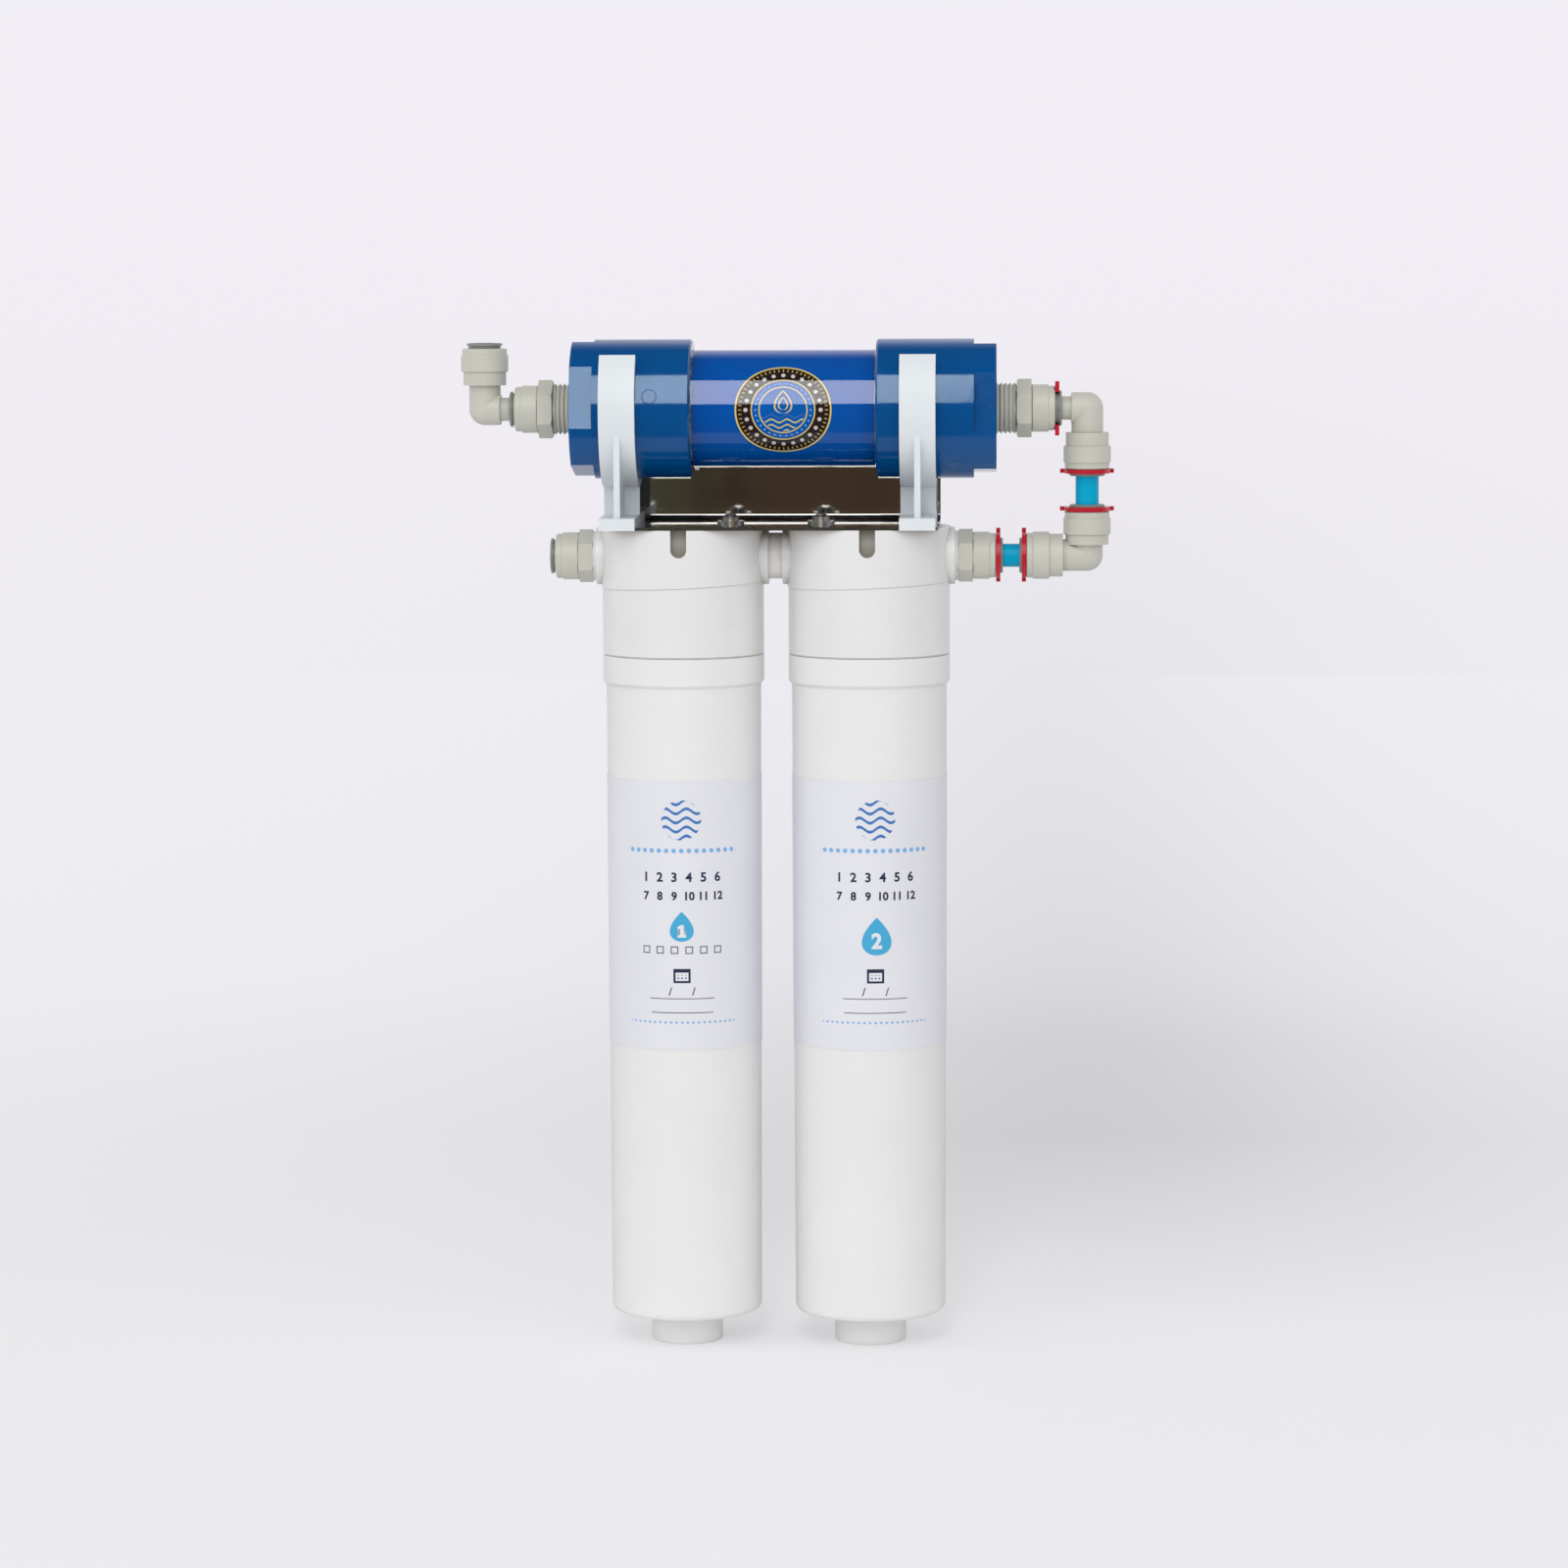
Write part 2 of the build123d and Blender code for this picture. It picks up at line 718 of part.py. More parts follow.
def valve_spring(x):
    rise = spring_high - spring_low
    with BuildPart() as spring:
        with BuildLine():
            coil = Helix(
                pitch=rise / valve_spring_turns, height=rise, radius=valve_spring_radius,
                center=(x, axis_y, spring_low),
            )
        with BuildSketch(Plane(origin=coil @ 0, z_dir=coil % 0)):
            Circle(valve_spring_wire)
        sweep()
    return spring.part


for side, x in (("left", -head_x), ("right", head_x)):
    finish(valve_plunger(x), f"{side}_valve_plunger")
    finish(valve_spring(x), f"{side}_valve_spring")


# Cartridges: shell, welded closure with lugs, rubber rings, filter block, end discs, label
band_inner_radius = shell_top_radius + run_gap
shell_inner_radius = shell_foot_radius - shell_wall
floor_top = shell_floor + shell_wall
block_bottom = floor_top + block_lift
block_top = block_bottom + block_length
neck_seal_middle = neck_bore_radius - run_gap - neck_seal_wire
neck_seal_z = shank_top + neck_seal_rise
spigot_seal_middle = well_radius - run_gap - spigot_seal_wire
spigot_seal_z = neck_top + spigot_seal_rise
disc_socket_radius = disc_neck_radius + run_gap
label_top = band_bottom - cartridge_label_inset
label_foot = label_top - cartridge_label_height


def shell_radius(z):
    share = (z - shell_floor) / (band_bottom - shell_floor)
    return shell_foot_radius + share * (shell_top_radius - shell_foot_radius)


def seal_groove(line, z, middle, wire, rim):
    half = wire + run_gap
    return section(line, tube_outline(z - half, z + half, middle - half, rim + over))


def cartridge_shell(line):
    with BuildPart() as shell:
        revolve(section(line, [
            (cartridge_foot, 0), (cartridge_foot, nub_radius), (shell_floor, nub_radius),
            (shell_floor, shell_foot_radius), (band_bottom, shell_top_radius),
            (shell_top, shell_top_radius), (shell_top, shell_inner_radius),
            (floor_top, shell_inner_radius), (floor_top, nub_radius - nub_wall),
            (cartridge_foot + nub_wall, nub_radius - nub_wall), (cartridge_foot + nub_wall, 0),
        ]), axis=line)
        rings = shell.edges().filter_by(GeomType.CIRCLE)
        start = line.position
        foot_ring = rings.sort_by_distance(start + Vector(shell_foot_radius, 0, shell_floor))[0]
        fillet(foot_ring, shell_foot_fillet)
        rings = shell.edges().filter_by(GeomType.CIRCLE)
        nub_ring = rings.sort_by_distance(start + Vector(nub_radius, 0, cartridge_foot))[0]
        fillet(nub_ring, nub_edge)
    return shell.part


def cartridge_closure(line):
    with BuildPart() as closure:
        revolve(section(line, [
            (closure_bottom, spigot_bore_radius), (closure_bottom, band_inner_radius),
            (band_bottom - band_slope, band_inner_radius), (band_bottom, band_radius),
            (band_top - band_edge, band_radius), (band_top, band_radius - band_edge),
            (band_top, shank_radius), (shank_top, shank_radius), (shank_top, neck_radius),
            (neck_top, neck_radius), (neck_top, spigot_radius), (spigot_top, spigot_radius),
            (spigot_top, spigot_bore_radius),
        ]), axis=line)
        lug = tube_outline(lug_bottom, lug_bottom + lug_height, shank_radius - over, lug_radius)
        for angle in lug_angles:
            revolve(section(line, lug, angle - lug_arc / 2), axis=line, revolution_arc=lug_arc)
        revolve(section(line, tube_outline(
            closure_bottom - over, closure_bottom + disc_neck_insertion + slip_gap,
            0, disc_socket_radius,
        )), axis=line, mode=Mode.SUBTRACT)
        revolve(seal_groove(line, neck_seal_z, neck_seal_middle, neck_seal_wire, neck_radius),
                axis=line, mode=Mode.SUBTRACT)
        revolve(seal_groove(line, spigot_seal_z, spigot_seal_middle, spigot_seal_wire, spigot_radius),
                axis=line, mode=Mode.SUBTRACT)
        with BuildSketch(Plane(origin=line.position + Vector(0, 0, neck_top))):
            with PolarLocations(feed_hole_circle, feed_hole_count):
                Circle(feed_hole_radius)
        extrude(amount=closure_bottom - neck_top - over, mode=Mode.SUBTRACT)
    return closure.part


def cartridge_block(line):
    with BuildPart() as block:
        revolve(section(line, tube_outline(
            block_bottom, block_top, block_bore_radius, block_radius,
        )), axis=line)
    return block.part


def cartridge_end_discs(line):
    foot = floor_top + slip_gap
    lower = block_bottom - disc_thickness
    upper = block_top + disc_thickness
    tip = closure_bottom + disc_neck_insertion
    with BuildPart() as discs:
        revolve(section(line, [
            (lower, 0), (lower, disc_foot_radius), (foot, disc_foot_radius),
            (foot, disc_foot_radius + disc_foot_width), (lower, disc_foot_radius + disc_foot_width),
            (lower, disc_radius), (block_bottom, disc_radius), (block_bottom, 0),
        ]), axis=line)
        revolve(section(line, [
            (block_top, spigot_bore_radius), (block_top, disc_radius), (upper, disc_radius),
            (upper, disc_neck_radius), (tip, disc_neck_radius), (tip, spigot_bore_radius),
        ]), axis=line)
    return discs.part


def cartridge_label(line):
    def film(z, gap):
        return (z, shell_radius(z) + gap)

    outer = film_gap + cartridge_label_film
    front = -90 - cartridge_label_arc / 2
    with BuildPart() as label:
        revolve(section(line, [
            film(label_foot, film_gap), film(label_foot, outer),
            film(label_top, outer), film(label_top, film_gap),
        ], front), axis=line, revolution_arc=cartridge_label_arc)
    return label.part


for number, x in ((1, -head_x), (2, head_x)):
    line = Axis((x, axis_y, 0), (0, 0, 1))
    finish(cartridge_shell(line), f"cartridge_{number}_shell")
    finish(cartridge_closure(line), f"cartridge_{number}_closure")
    finish(cartridge_block(line), f"cartridge_{number}_block")
    finish(cartridge_end_discs(line), f"cartridge_{number}_end_discs")
    finish(cartridge_label(line), f"cartridge_{number}_label")
    finish(group([
        ring_seal(line, neck_seal_z, neck_seal_middle, neck_seal_wire),
        ring_seal(line, spigot_seal_z, spigot_seal_middle, spigot_seal_wire),
    ]), f"cartridge_{number}_seals")


# Push-fit ports. Each port has a line that starts at its mouth and runs inwards.
def port_outer(length, shoulder):
    ends = [
        (ring_to_band, shoulder_radius), (ring_to_band + shoulder, shoulder_radius),
        (ring_to_band + shoulder, elbow_radius), (length, elbow_radius), (length, 0),
    ] if shoulder else [(ring_to_band, 0)]
    return [
        (0, 0), (0, mouth_ring_radius - fitting_edge), (fitting_edge, mouth_ring_radius),
        (mouth_ring_length, mouth_ring_radius), (mouth_ring_length, barrel_band_radius - fitting_edge),
        (mouth_ring_length + fitting_edge, barrel_band_radius),
        (ring_to_band - fitting_edge, barrel_band_radius),
        (ring_to_band, barrel_band_radius - fitting_edge), *ends,
    ]


def port_bore(length):
    return [
        (-over, 0), (-over, socket_radius), (socket_depth, socket_radius),
        (socket_depth, collet_bore_radius), (tube_stop, collet_bore_radius),
        (tube_stop, tube_bore_radius), (length, tube_bore_radius), (length, 0),
    ]


def thread_outline(start, length, radius, pitch, depth):
    points = [(start, 0), (start, radius - depth)]
    for turn in range(int(length / pitch)):
        ridge = start + turn * pitch
        points += [(ridge + pitch / 2, radius), (ridge + pitch, radius - depth)]
    return points + [(start + length, radius - depth), (start + length, 0)]


def male_connector(line, hex_radius, thread, length):
    hex_end = ring_to_band + hex_length
    with BuildPart() as connector:
        revolve(section(line, port_outer(ring_to_band, 0)), axis=line)
        with BuildSketch(disc_plane(line, ring_to_band)):
            RegularPolygon(hex_radius, 6)
        extrude(amount=hex_length)
        bevel = [
            (hex_end - hex_bevel / 2, hex_radius), (hex_end, hex_radius - hex_bevel),
            (hex_end, hex_radius + over), (hex_end - hex_bevel / 2, hex_radius + over),
        ]
        revolve(section(line, bevel), axis=line, mode=Mode.SUBTRACT)
        revolve(section(line, thread), axis=line)
        revolve(section(line, port_bore(hex_end + length + over)), axis=line, mode=Mode.SUBTRACT)
    return connector.part


connector_reach = ring_to_band + hex_length
upper_mouth = chamber_end + upper_thread_bared + connector_reach
lower_mouth = boss_face + port_washer_height + connector_reach
upper_thread_length = upper_thread_bared + upper_thread_held
lower_thread_length = port_washer_height + lower_thread_held
upper_thread = thread_outline(
    connector_reach, upper_thread_length, upper_thread_radius, upper_thread_pitch, upper_thread_depth,
)
lower_thread = tube_outline(
    connector_reach, connector_reach + lower_thread_length, 0, lower_thread_radius,
)

outlet_port = Axis((chamber_offset - upper_mouth, axis_y, chamber_z), (1, 0, 0))
crossover_port = Axis((chamber_offset + upper_mouth, axis_y, chamber_z), (-1, 0, 0))
inlet_port = Axis((-lower_mouth, axis_y, port_z), (1, 0, 0))
transfer_port = Axis((lower_mouth, axis_y, port_z), (-1, 0, 0))

finish(male_connector(outlet_port, upper_hex_radius, upper_thread, upper_thread_length),
       "outlet_connector")
finish(male_connector(crossover_port, upper_hex_radius, upper_thread, upper_thread_length),
       "chamber_connector")
finish(male_connector(inlet_port, lower_hex_radius, lower_thread, lower_thread_length),
       "inlet_connector")
finish(male_connector(transfer_port, lower_hex_radius, lower_thread, lower_thread_length),
       "transfer_connector")

with BuildPart() as port_washers:
    for side in (-1, 1):
        with BuildSketch(level_plane(side * boss_face, port_z, side)):
            Circle(port_washer_radius)
            Circle(lower_thread_bore, mode=Mode.SUBTRACT)
        extrude(amount=port_washer_height)
finish(port_washers.part, "port_washers")


# Elbows: a ball corner with a port on each leg, or a port and a plain stem
free_out = collet_travel + collet_flange_height
locked_out = lock_slot + collet_flange_height
outlet_corner = outlet_port.position - outlet_port.direction * (free_out + stem_reach)
crossover_corner = crossover_port.position - crossover_port.direction * (locked_out + stem_reach)
corner_place = Vector(crossover_corner.X, axis_y, port_z)


def port_line(corner, direction, leg):
    outward = Vector(direction)
    return Axis(corner + outward * leg, outward * -1)


outlet_mouth = port_line(outlet_corner, (0, 0, 1), long_leg)
crossover_mouth = port_line(crossover_corner, (0, 0, -1), long_leg)
corner_upper_mouth = port_line(corner_place, (0, 0, 1), short_leg)
corner_side_mouth = port_line(corner_place, (-1, 0, 0), long_leg)


def elbow(corner, ports, stem_line=None, collet_out=0):
    with BuildPart() as body:
        for line, leg, shoulder in ports:
            revolve(section(line, port_outer(leg, shoulder)), axis=line)
        with Locations(corner):
            Sphere(elbow_radius)
        if stem_line:
            low = -collet_out - stem_reach
            revolve(section(stem_line, [
                (low, 0), (low, elbow_radius), (low + stem_stub - fitting_edge, elbow_radius),
                (low + stem_stub, elbow_radius - fitting_edge), (low + stem_stub, 0),
            ]), axis=stem_line)
            revolve(section(stem_line, tube_outline(low, stem_end, 0, tube_radius)), axis=stem_line)
            revolve(section(stem_line, tube_outline(low, stem_end + over, 0, tube_bore_radius)),
                    axis=stem_line, mode=Mode.SUBTRACT)
        for line, leg, shoulder in ports:
            revolve(section(line, port_bore(leg)), axis=line, mode=Mode.SUBTRACT)
        with Locations(corner):
            Sphere(tube_bore_radius, mode=Mode.SUBTRACT)
    return body.part


finish(elbow(outlet_corner, [(outlet_mouth, long_leg, long_shoulder)], outlet_port, free_out),
       "outlet_elbow")
finish(elbow(crossover_corner, [(crossover_mouth, long_leg, long_shoulder)], crossover_port,
             locked_out), "crossover_elbow")
finish(elbow(corner_place, [
    (corner_upper_mouth, short_leg, short_shoulder), (corner_side_mouth, long_leg, long_shoulder),
]), "corner_elbow")


# Collets, free or held out by a red clip
def collet(line, gap):
    face = -gap - collet_flange_height
    tip = face + collet_length
    with BuildPart() as body:
        revolve(section(line, [
            (face, collet_bore_radius), (face, collet_flange_radius - collet_flange_edge),
            (face + collet_flange_edge, collet_flange_radius), (-gap, collet_flange_radius),
            (-gap, collet_neck_radius), (tip, collet_neck_radius), (tip, collet_bore_radius),
        ]), axis=line)
        with BuildSketch(disc_plane(line, tip)):
            with PolarLocations(0, collet_slit_count):
                Rectangle(2 * socket_radius, collet_slit_width)
        extrude(amount=-collet_slit_length, mode=Mode.SUBTRACT)
    return body.part


free_collets = {
    "outlet_collet": outlet_mouth,
    "outlet_stem_collet": outlet_port,
    "inlet_collet": inlet_port,
}
locked_collets = {
    "crossover_stem": crossover_port,
    "crossover_lower": crossover_mouth,
    "corner_upper": corner_upper_mouth,
    "corner_side": corner_side_mouth,
    "transfer": transfer_port,
}
for name, line in free_collets.items():
    finish(collet(line, collet_travel), name)
for name, line in locked_collets.items():
    finish(collet(line, lock_slot), f"{name}_collet")

lock_inner = collet_neck_radius + slip_gap
lock_outer = lock_inner + lock_wall
lock_span = 2 * (lock_outer + lock_tab_height)


def lock_clip(line, side):
    # an open ring with a finger tab at the end of each arm; it slides off towards its closed side,
    # which faces the wall where side is 1 and the viewer where it is -1
    middle = line.position - line.direction * (lock_slot / 2)
    if line.direction.X:
        plane = Plane(origin=middle, x_dir=(0, 0, 1), z_dir=(-side, 0, 0))
    else:
        plane = Plane(origin=middle, x_dir=(1, 0, 0), z_dir=(0, 0, side))
    with BuildPart() as lock:
        with BuildSketch(plane):
            Circle(lock_outer)
            with Locations((0, -lock_arm / 2)):
                Rectangle(2 * lock_outer, lock_arm)
            with Locations((0, lock_tab_width / 2 - lock_arm)):
                Rectangle(lock_span, lock_tab_width)
            Circle(lock_inner, mode=Mode.SUBTRACT)
            with Locations((0, -lock_outer)):
                Rectangle(2 * lock_inner, 2 * lock_outer, mode=Mode.SUBTRACT)
            with Locations((0, -lock_arm - lock_outer)):
                Rectangle(lock_span, 2 * lock_outer, mode=Mode.SUBTRACT)
        extrude(amount=lock_thickness / 2, both=True)
    return lock.part


for name, line in locked_collets.items():
    side = 1 if name == "crossover_stem" else -1
    finish(lock_clip(line, side), f"{name}_lock_clip")


# Blue tubes between locked ports, and the rubber ring in every port
def joining_tube(first, second):
    length = (first.position - second.position).length
    with BuildPart() as tube:
        revolve(section(first, tube_outline(
            -length - stem_end, stem_end, tube_bore_radius, tube_radius,
        )), axis=first)
    return tube.part


finish(joining_tube(crossover_mouth, corner_upper_mouth), "upright_tube")
finish(joining_tube(transfer_port, corner_side_mouth), "level_tube")

port_seal_middle = tube_radius + run_gap + port_seal_wire


def port_seal(line):
    return ring_seal(line, port_seal_depth, port_seal_middle, port_seal_wire)


finish(port_seal(outlet_mouth), "outlet_seal")
finish(group([
    port_seal(line)
    for line in (outlet_port, inlet_port, *locked_collets.values())
]), "port_seals")
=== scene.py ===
import json
import math

import bpy
import bmesh
import numpy as np
from mathutils import Matrix, Vector


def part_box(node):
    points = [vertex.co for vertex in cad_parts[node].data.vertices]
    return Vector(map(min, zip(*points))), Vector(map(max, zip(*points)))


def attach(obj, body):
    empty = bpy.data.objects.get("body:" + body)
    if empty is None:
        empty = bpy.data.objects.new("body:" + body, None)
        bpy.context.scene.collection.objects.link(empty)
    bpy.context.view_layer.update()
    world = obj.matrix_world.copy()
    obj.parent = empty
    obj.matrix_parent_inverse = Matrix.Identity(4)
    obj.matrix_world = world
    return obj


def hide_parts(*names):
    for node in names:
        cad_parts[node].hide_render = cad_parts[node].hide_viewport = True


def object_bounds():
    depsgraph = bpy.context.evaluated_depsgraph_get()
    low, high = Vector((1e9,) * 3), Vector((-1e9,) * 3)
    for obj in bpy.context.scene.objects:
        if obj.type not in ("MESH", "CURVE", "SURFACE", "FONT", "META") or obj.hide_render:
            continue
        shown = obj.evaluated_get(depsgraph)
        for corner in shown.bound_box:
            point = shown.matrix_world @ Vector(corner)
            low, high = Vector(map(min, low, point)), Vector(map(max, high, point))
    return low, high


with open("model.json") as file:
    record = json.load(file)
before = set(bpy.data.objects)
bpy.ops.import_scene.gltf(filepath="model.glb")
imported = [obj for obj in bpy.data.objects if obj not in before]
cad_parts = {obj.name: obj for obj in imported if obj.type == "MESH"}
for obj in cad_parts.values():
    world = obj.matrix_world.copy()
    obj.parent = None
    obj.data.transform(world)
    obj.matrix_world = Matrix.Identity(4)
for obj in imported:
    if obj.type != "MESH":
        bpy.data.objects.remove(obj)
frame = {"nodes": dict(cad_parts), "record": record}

cadLow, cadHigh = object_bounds()
axisY = -0.0337          # depth of every vertical and level line of the unit
chamberZ = 0.0042        # height of the chamber's axis
mm = 0.001
printRadius = 0.0316     # the labels are unrolled at this radius
dropFullness = 2.6       # one over the widest value of the root of the rise times one less the rise
noiseSpan = (0.3, 0.7)    # nearly all of a noise's values
noiseCore = (0.35, 0.65)  # most of them
unit = (0.0, 1.0)
unitDown = (1.0, 0.0)


print("stage: camera")
cameraSettings = {
    "target": (0.0029, axisY, -0.1499),
    "distance": 2.125,
    "yaw": 2.37,
    "pitch": 6.1,
    "roll": -0.22,
    "lens": 118.6,
}


def placeCamera(settings):
    # the camera looks back along the line from the target, then rolls about it
    yaw, pitch, roll = (math.radians(settings[key]) for key in ("yaw", "pitch", "roll"))
    back = Vector((math.sin(yaw) * math.cos(pitch), -math.cos(yaw) * math.cos(pitch), math.sin(pitch)))
    level = Vector((math.cos(yaw), math.sin(yaw), 0))
    upright = back.cross(level)
    right = level * math.cos(roll) + upright * math.sin(roll)
    up = upright * math.cos(roll) - level * math.sin(roll)
    place = Vector(settings["target"]) + back * settings["distance"]
    lens = bpy.data.cameras.new("studioCamera")
    lens.lens = settings["lens"]
    lens.sensor_width = 36
    camera = bpy.data.objects.new("studioCamera", lens)
    bpy.context.scene.collection.objects.link(camera)
    camera.matrix_world = Matrix((
        (right.x, up.x, back.x, place.x),
        (right.y, up.y, back.y, place.y),
        (right.z, up.z, back.z, place.z),
        (0, 0, 0, 1),
    ))
    bpy.context.scene.camera = camera


placeCamera(cameraSettings)


class Graph:
    # a thin layer over a node tree: each value is a number, a colour or another node's output
    def __init__(self, owner):
        owner.use_nodes = True
        self.tree = owner.node_tree
        self.tree.nodes.clear()

    def feed(self, socket, value):
        if isinstance(value, bpy.types.NodeSocket):
            self.tree.links.new(value, socket)
        else:
            socket.default_value = value

    def add(self, kind, inputs=None, **settings):
        node = self.tree.nodes.new(kind)
        for name, value in settings.items():
            setattr(node, name, value)
        for name, value in (inputs or {}).items():
            self.feed(node.inputs[name], value)
        return node

    def calc(self, operation, *values, clamp=False):
        node = self.add("ShaderNodeMath", operation=operation, use_clamp=clamp)
        for socket, value in zip(node.inputs, values):
            self.feed(socket, value)
        return node.outputs[0]

    def fit(self, value, low, high, first, last):
        # value runs from low to high, the answer from first to last, held at both ends
        names = ("Value", "From Min", "From Max", "To Min", "To Max")
        inputs = dict(zip(names, (value, low, high, first, last)))
        return self.add("ShaderNodeMapRange", inputs).outputs[0]

    def tint(self, share, first, second):
        node = self.add("ShaderNodeMix", data_type="RGBA")
        for index, value in ((0, share), (6, first), (7, second)):
            if index and isinstance(value, tuple):
                value = (*value, 1.0)[:4]
            self.feed(node.inputs[index], value)
        return node.outputs[2]

    def blend(self, share, first, second):
        node = self.add("ShaderNodeMixShader")
        for socket, value in zip(node.inputs, (share, first, second)):
            self.feed(socket, value)
        return node.outputs[0]

    def objectPlace(self):
        return self.add("ShaderNodeTexCoord").outputs["Object"]

    def parts(self, place):
        return self.add("ShaderNodeSeparateXYZ", {"Vector": place}).outputs

    def stretched(self, place, scale):
        return self.add("ShaderNodeMapping", {"Vector": place, "Scale": scale}).outputs[0]

    def noise(self, place, scale, detail=3.0, roughness=0.5):
        inputs = {"Vector": place, "Scale": scale, "Detail": detail, "Roughness": roughness}
        return self.add("ShaderNodeTexNoise", inputs).outputs["Fac"]

    def bump(self, height, distance, strength=1.0, normal=None):
        inputs = {"Height": height, "Distance": distance, "Strength": strength}
        if normal is not None:
            inputs["Normal"] = normal
        return self.add("ShaderNodeBump", inputs).outputs[0]

    def finish(self, shader):
        self.add("ShaderNodeOutputMaterial", {"Surface": shader})

    # masks for printed marks: 1 inside the mark, 0 outside, with an edge of the given softness
    def within(self, distance, reach, soft):
        return self.fit(distance, reach - soft, reach + soft, 1.0, 0.0)

    def strip(self, value, centre, half, soft):
        return self.within(self.calc("ABSOLUTE", self.calc("SUBTRACT", value, centre)), half, soft)

    def both(self, *masks):
        product = masks[0]
        for mask in masks[1:]:
            product = self.calc("MULTIPLY", product, mask)
        return product

    def either(self, *masks):
        highest = masks[0]
        for mask in masks[1:]:
            highest = self.calc("MAXIMUM", highest, mask)
        return highest

    def spread(self, *parts):
        # length of a flat vector
        squares = [self.calc("MULTIPLY", part, part) for part in parts]
        return self.calc("SQRT", self.calc("ADD", *squares))

    def repeat(self, value, pitch):
        # distance from the nearest place of a row with this pitch, signed
        cell = self.calc("ADD", self.calc("DIVIDE", value, pitch), 0.5)
        return self.calc("MULTIPLY", self.calc("SUBTRACT", self.calc("FRACT", cell), 0.5), pitch)


def newMaterial(name):
    material = bpy.data.materials.new(name)
    return material, Graph(material)


print("stage: finishes")
plastics = {
    "clip_plastic": {
        "colour": (0.755, 0.795, 0.82), "drift": 0.03, "roughness": (0.42, 0.52),
        "grain": 2600, "grainDepth": 0.00002, "sink": 55, "sinkDepth": 0.0002, "specks": 0.10,
    },
    "head_plastic": {
        "colour": (0.81, 0.805, 0.80), "drift": 0.02, "roughness": (0.26, 0.36),
        # the entry below paints shade into the hollows: the colour there is multiplied by these shares
        "creviceShade": {"reach": 0.006, "share": (0.50, 0.455, 0.35), "shut": 0.30, "open": 0.80},
        "grain": 1900, "grainDepth": 0.000015, "sink": 40, "sinkDepth": 0.0002, "specks": 0.12,
    },
    "cartridge_plastic": {
        "colour": (0.84, 0.835, 0.83), "drift": 0.02, "roughness": (0.36, 0.46),
        "grain": 2200, "grainDepth": 0.00003, "sink": 32, "sinkDepth": 0.0003, "specks": 0.16,
    },
    "union_plastic": {
        "colour": (0.84, 0.83, 0.80), "drift": 0.05, "roughness": (0.34, 0.44),
        "grain": 2400, "grainDepth": 0.00002, "sink": 90, "sinkDepth": 0.0001, "specks": 0.1,
    },
    "inner_plastic": {
        "colour": (0.68, 0.68, 0.66), "drift": 0.04, "roughness": (0.42, 0.55),
        "grain": 2200, "grainDepth": 0.00002, "sink": 80, "sinkDepth": 0.0001, "specks": 0.1,
    },
    "washer_plastic": {
        "colour": (0.74, 0.74, 0.72), "drift": 0.04, "roughness": (0.40, 0.52),
        "grain": 2200, "grainDepth": 0.00002, "sink": 90, "sinkDepth": 0.0001, "specks": 0.1,
    },
    "blue_cap_plastic": {
        "colour": (0.0, 0.073, 0.262), "drift": 0.06, "roughness": (0.07, 0.11),
        "index": 1.58, "shineTint": (0.82, 0.98, 1.0),
        "grain": 1500, "grainDepth": 0.000008, "sink": 70, "sinkDepth": 0.0001, "specks": 0.0,
    },
    "fitting_plastic": {
        "colour": (0.59, 0.585, 0.512), "drift": 0.04, "roughness": (0.30, 0.42),
        # the entry below paints shade into the hollows: the colour there is multiplied by these shares
        "creviceShade": {"reach": 0.0012, "share": (0.40, 0.38, 0.35), "shut": 0.15, "open": 0.62},
        "grain": 2600, "grainDepth": 0.00002, "sink": 110, "sinkDepth": 0.0001, "specks": 0.12,
    },
    "collet_plastic": {
        "colour": (0.27, 0.28, 0.26), "drift": 0.08, "roughness": (0.30, 0.40),
        "grain": 2600, "grainDepth": 0.00002, "sink": 130, "sinkDepth": 0.00005, "specks": 0.1,
    },
    "red_plastic": {
        "colour": (0.56, 0.006, 0.022), "drift": 0.10, "roughness": (0.22, 0.32),
        "grain": 2400, "grainDepth": 0.00001, "sink": 140, "sinkDepth": 0.00005, "specks": 0.0,
    },
    "black_rubber": {
        "colour": (0.02, 0.02, 0.021), "drift": 0.2, "roughness": (0.5, 0.65),
        "grain": 3000, "grainDepth": 0.00003, "sink": 200, "sinkDepth": 0.00005, "specks": 0.0,
    },
}

dust = {"cells": 85.0, "radius": 0.012, "soft": 0.006, "share": 0.45, "tone": (0.12, 0.10, 0.08)}
# gloss drifts in patches a little finer than the sink marks, longer than wide
handling = {"stretch": (1.0, 1.0, 0.55), "finer": 2.4, "grain": 0.25, "span": (0.4, 0.9), "sink": 0.6}
plainGloss = {"index": 1.49, "tint": (1.0, 1.0, 1.0)}


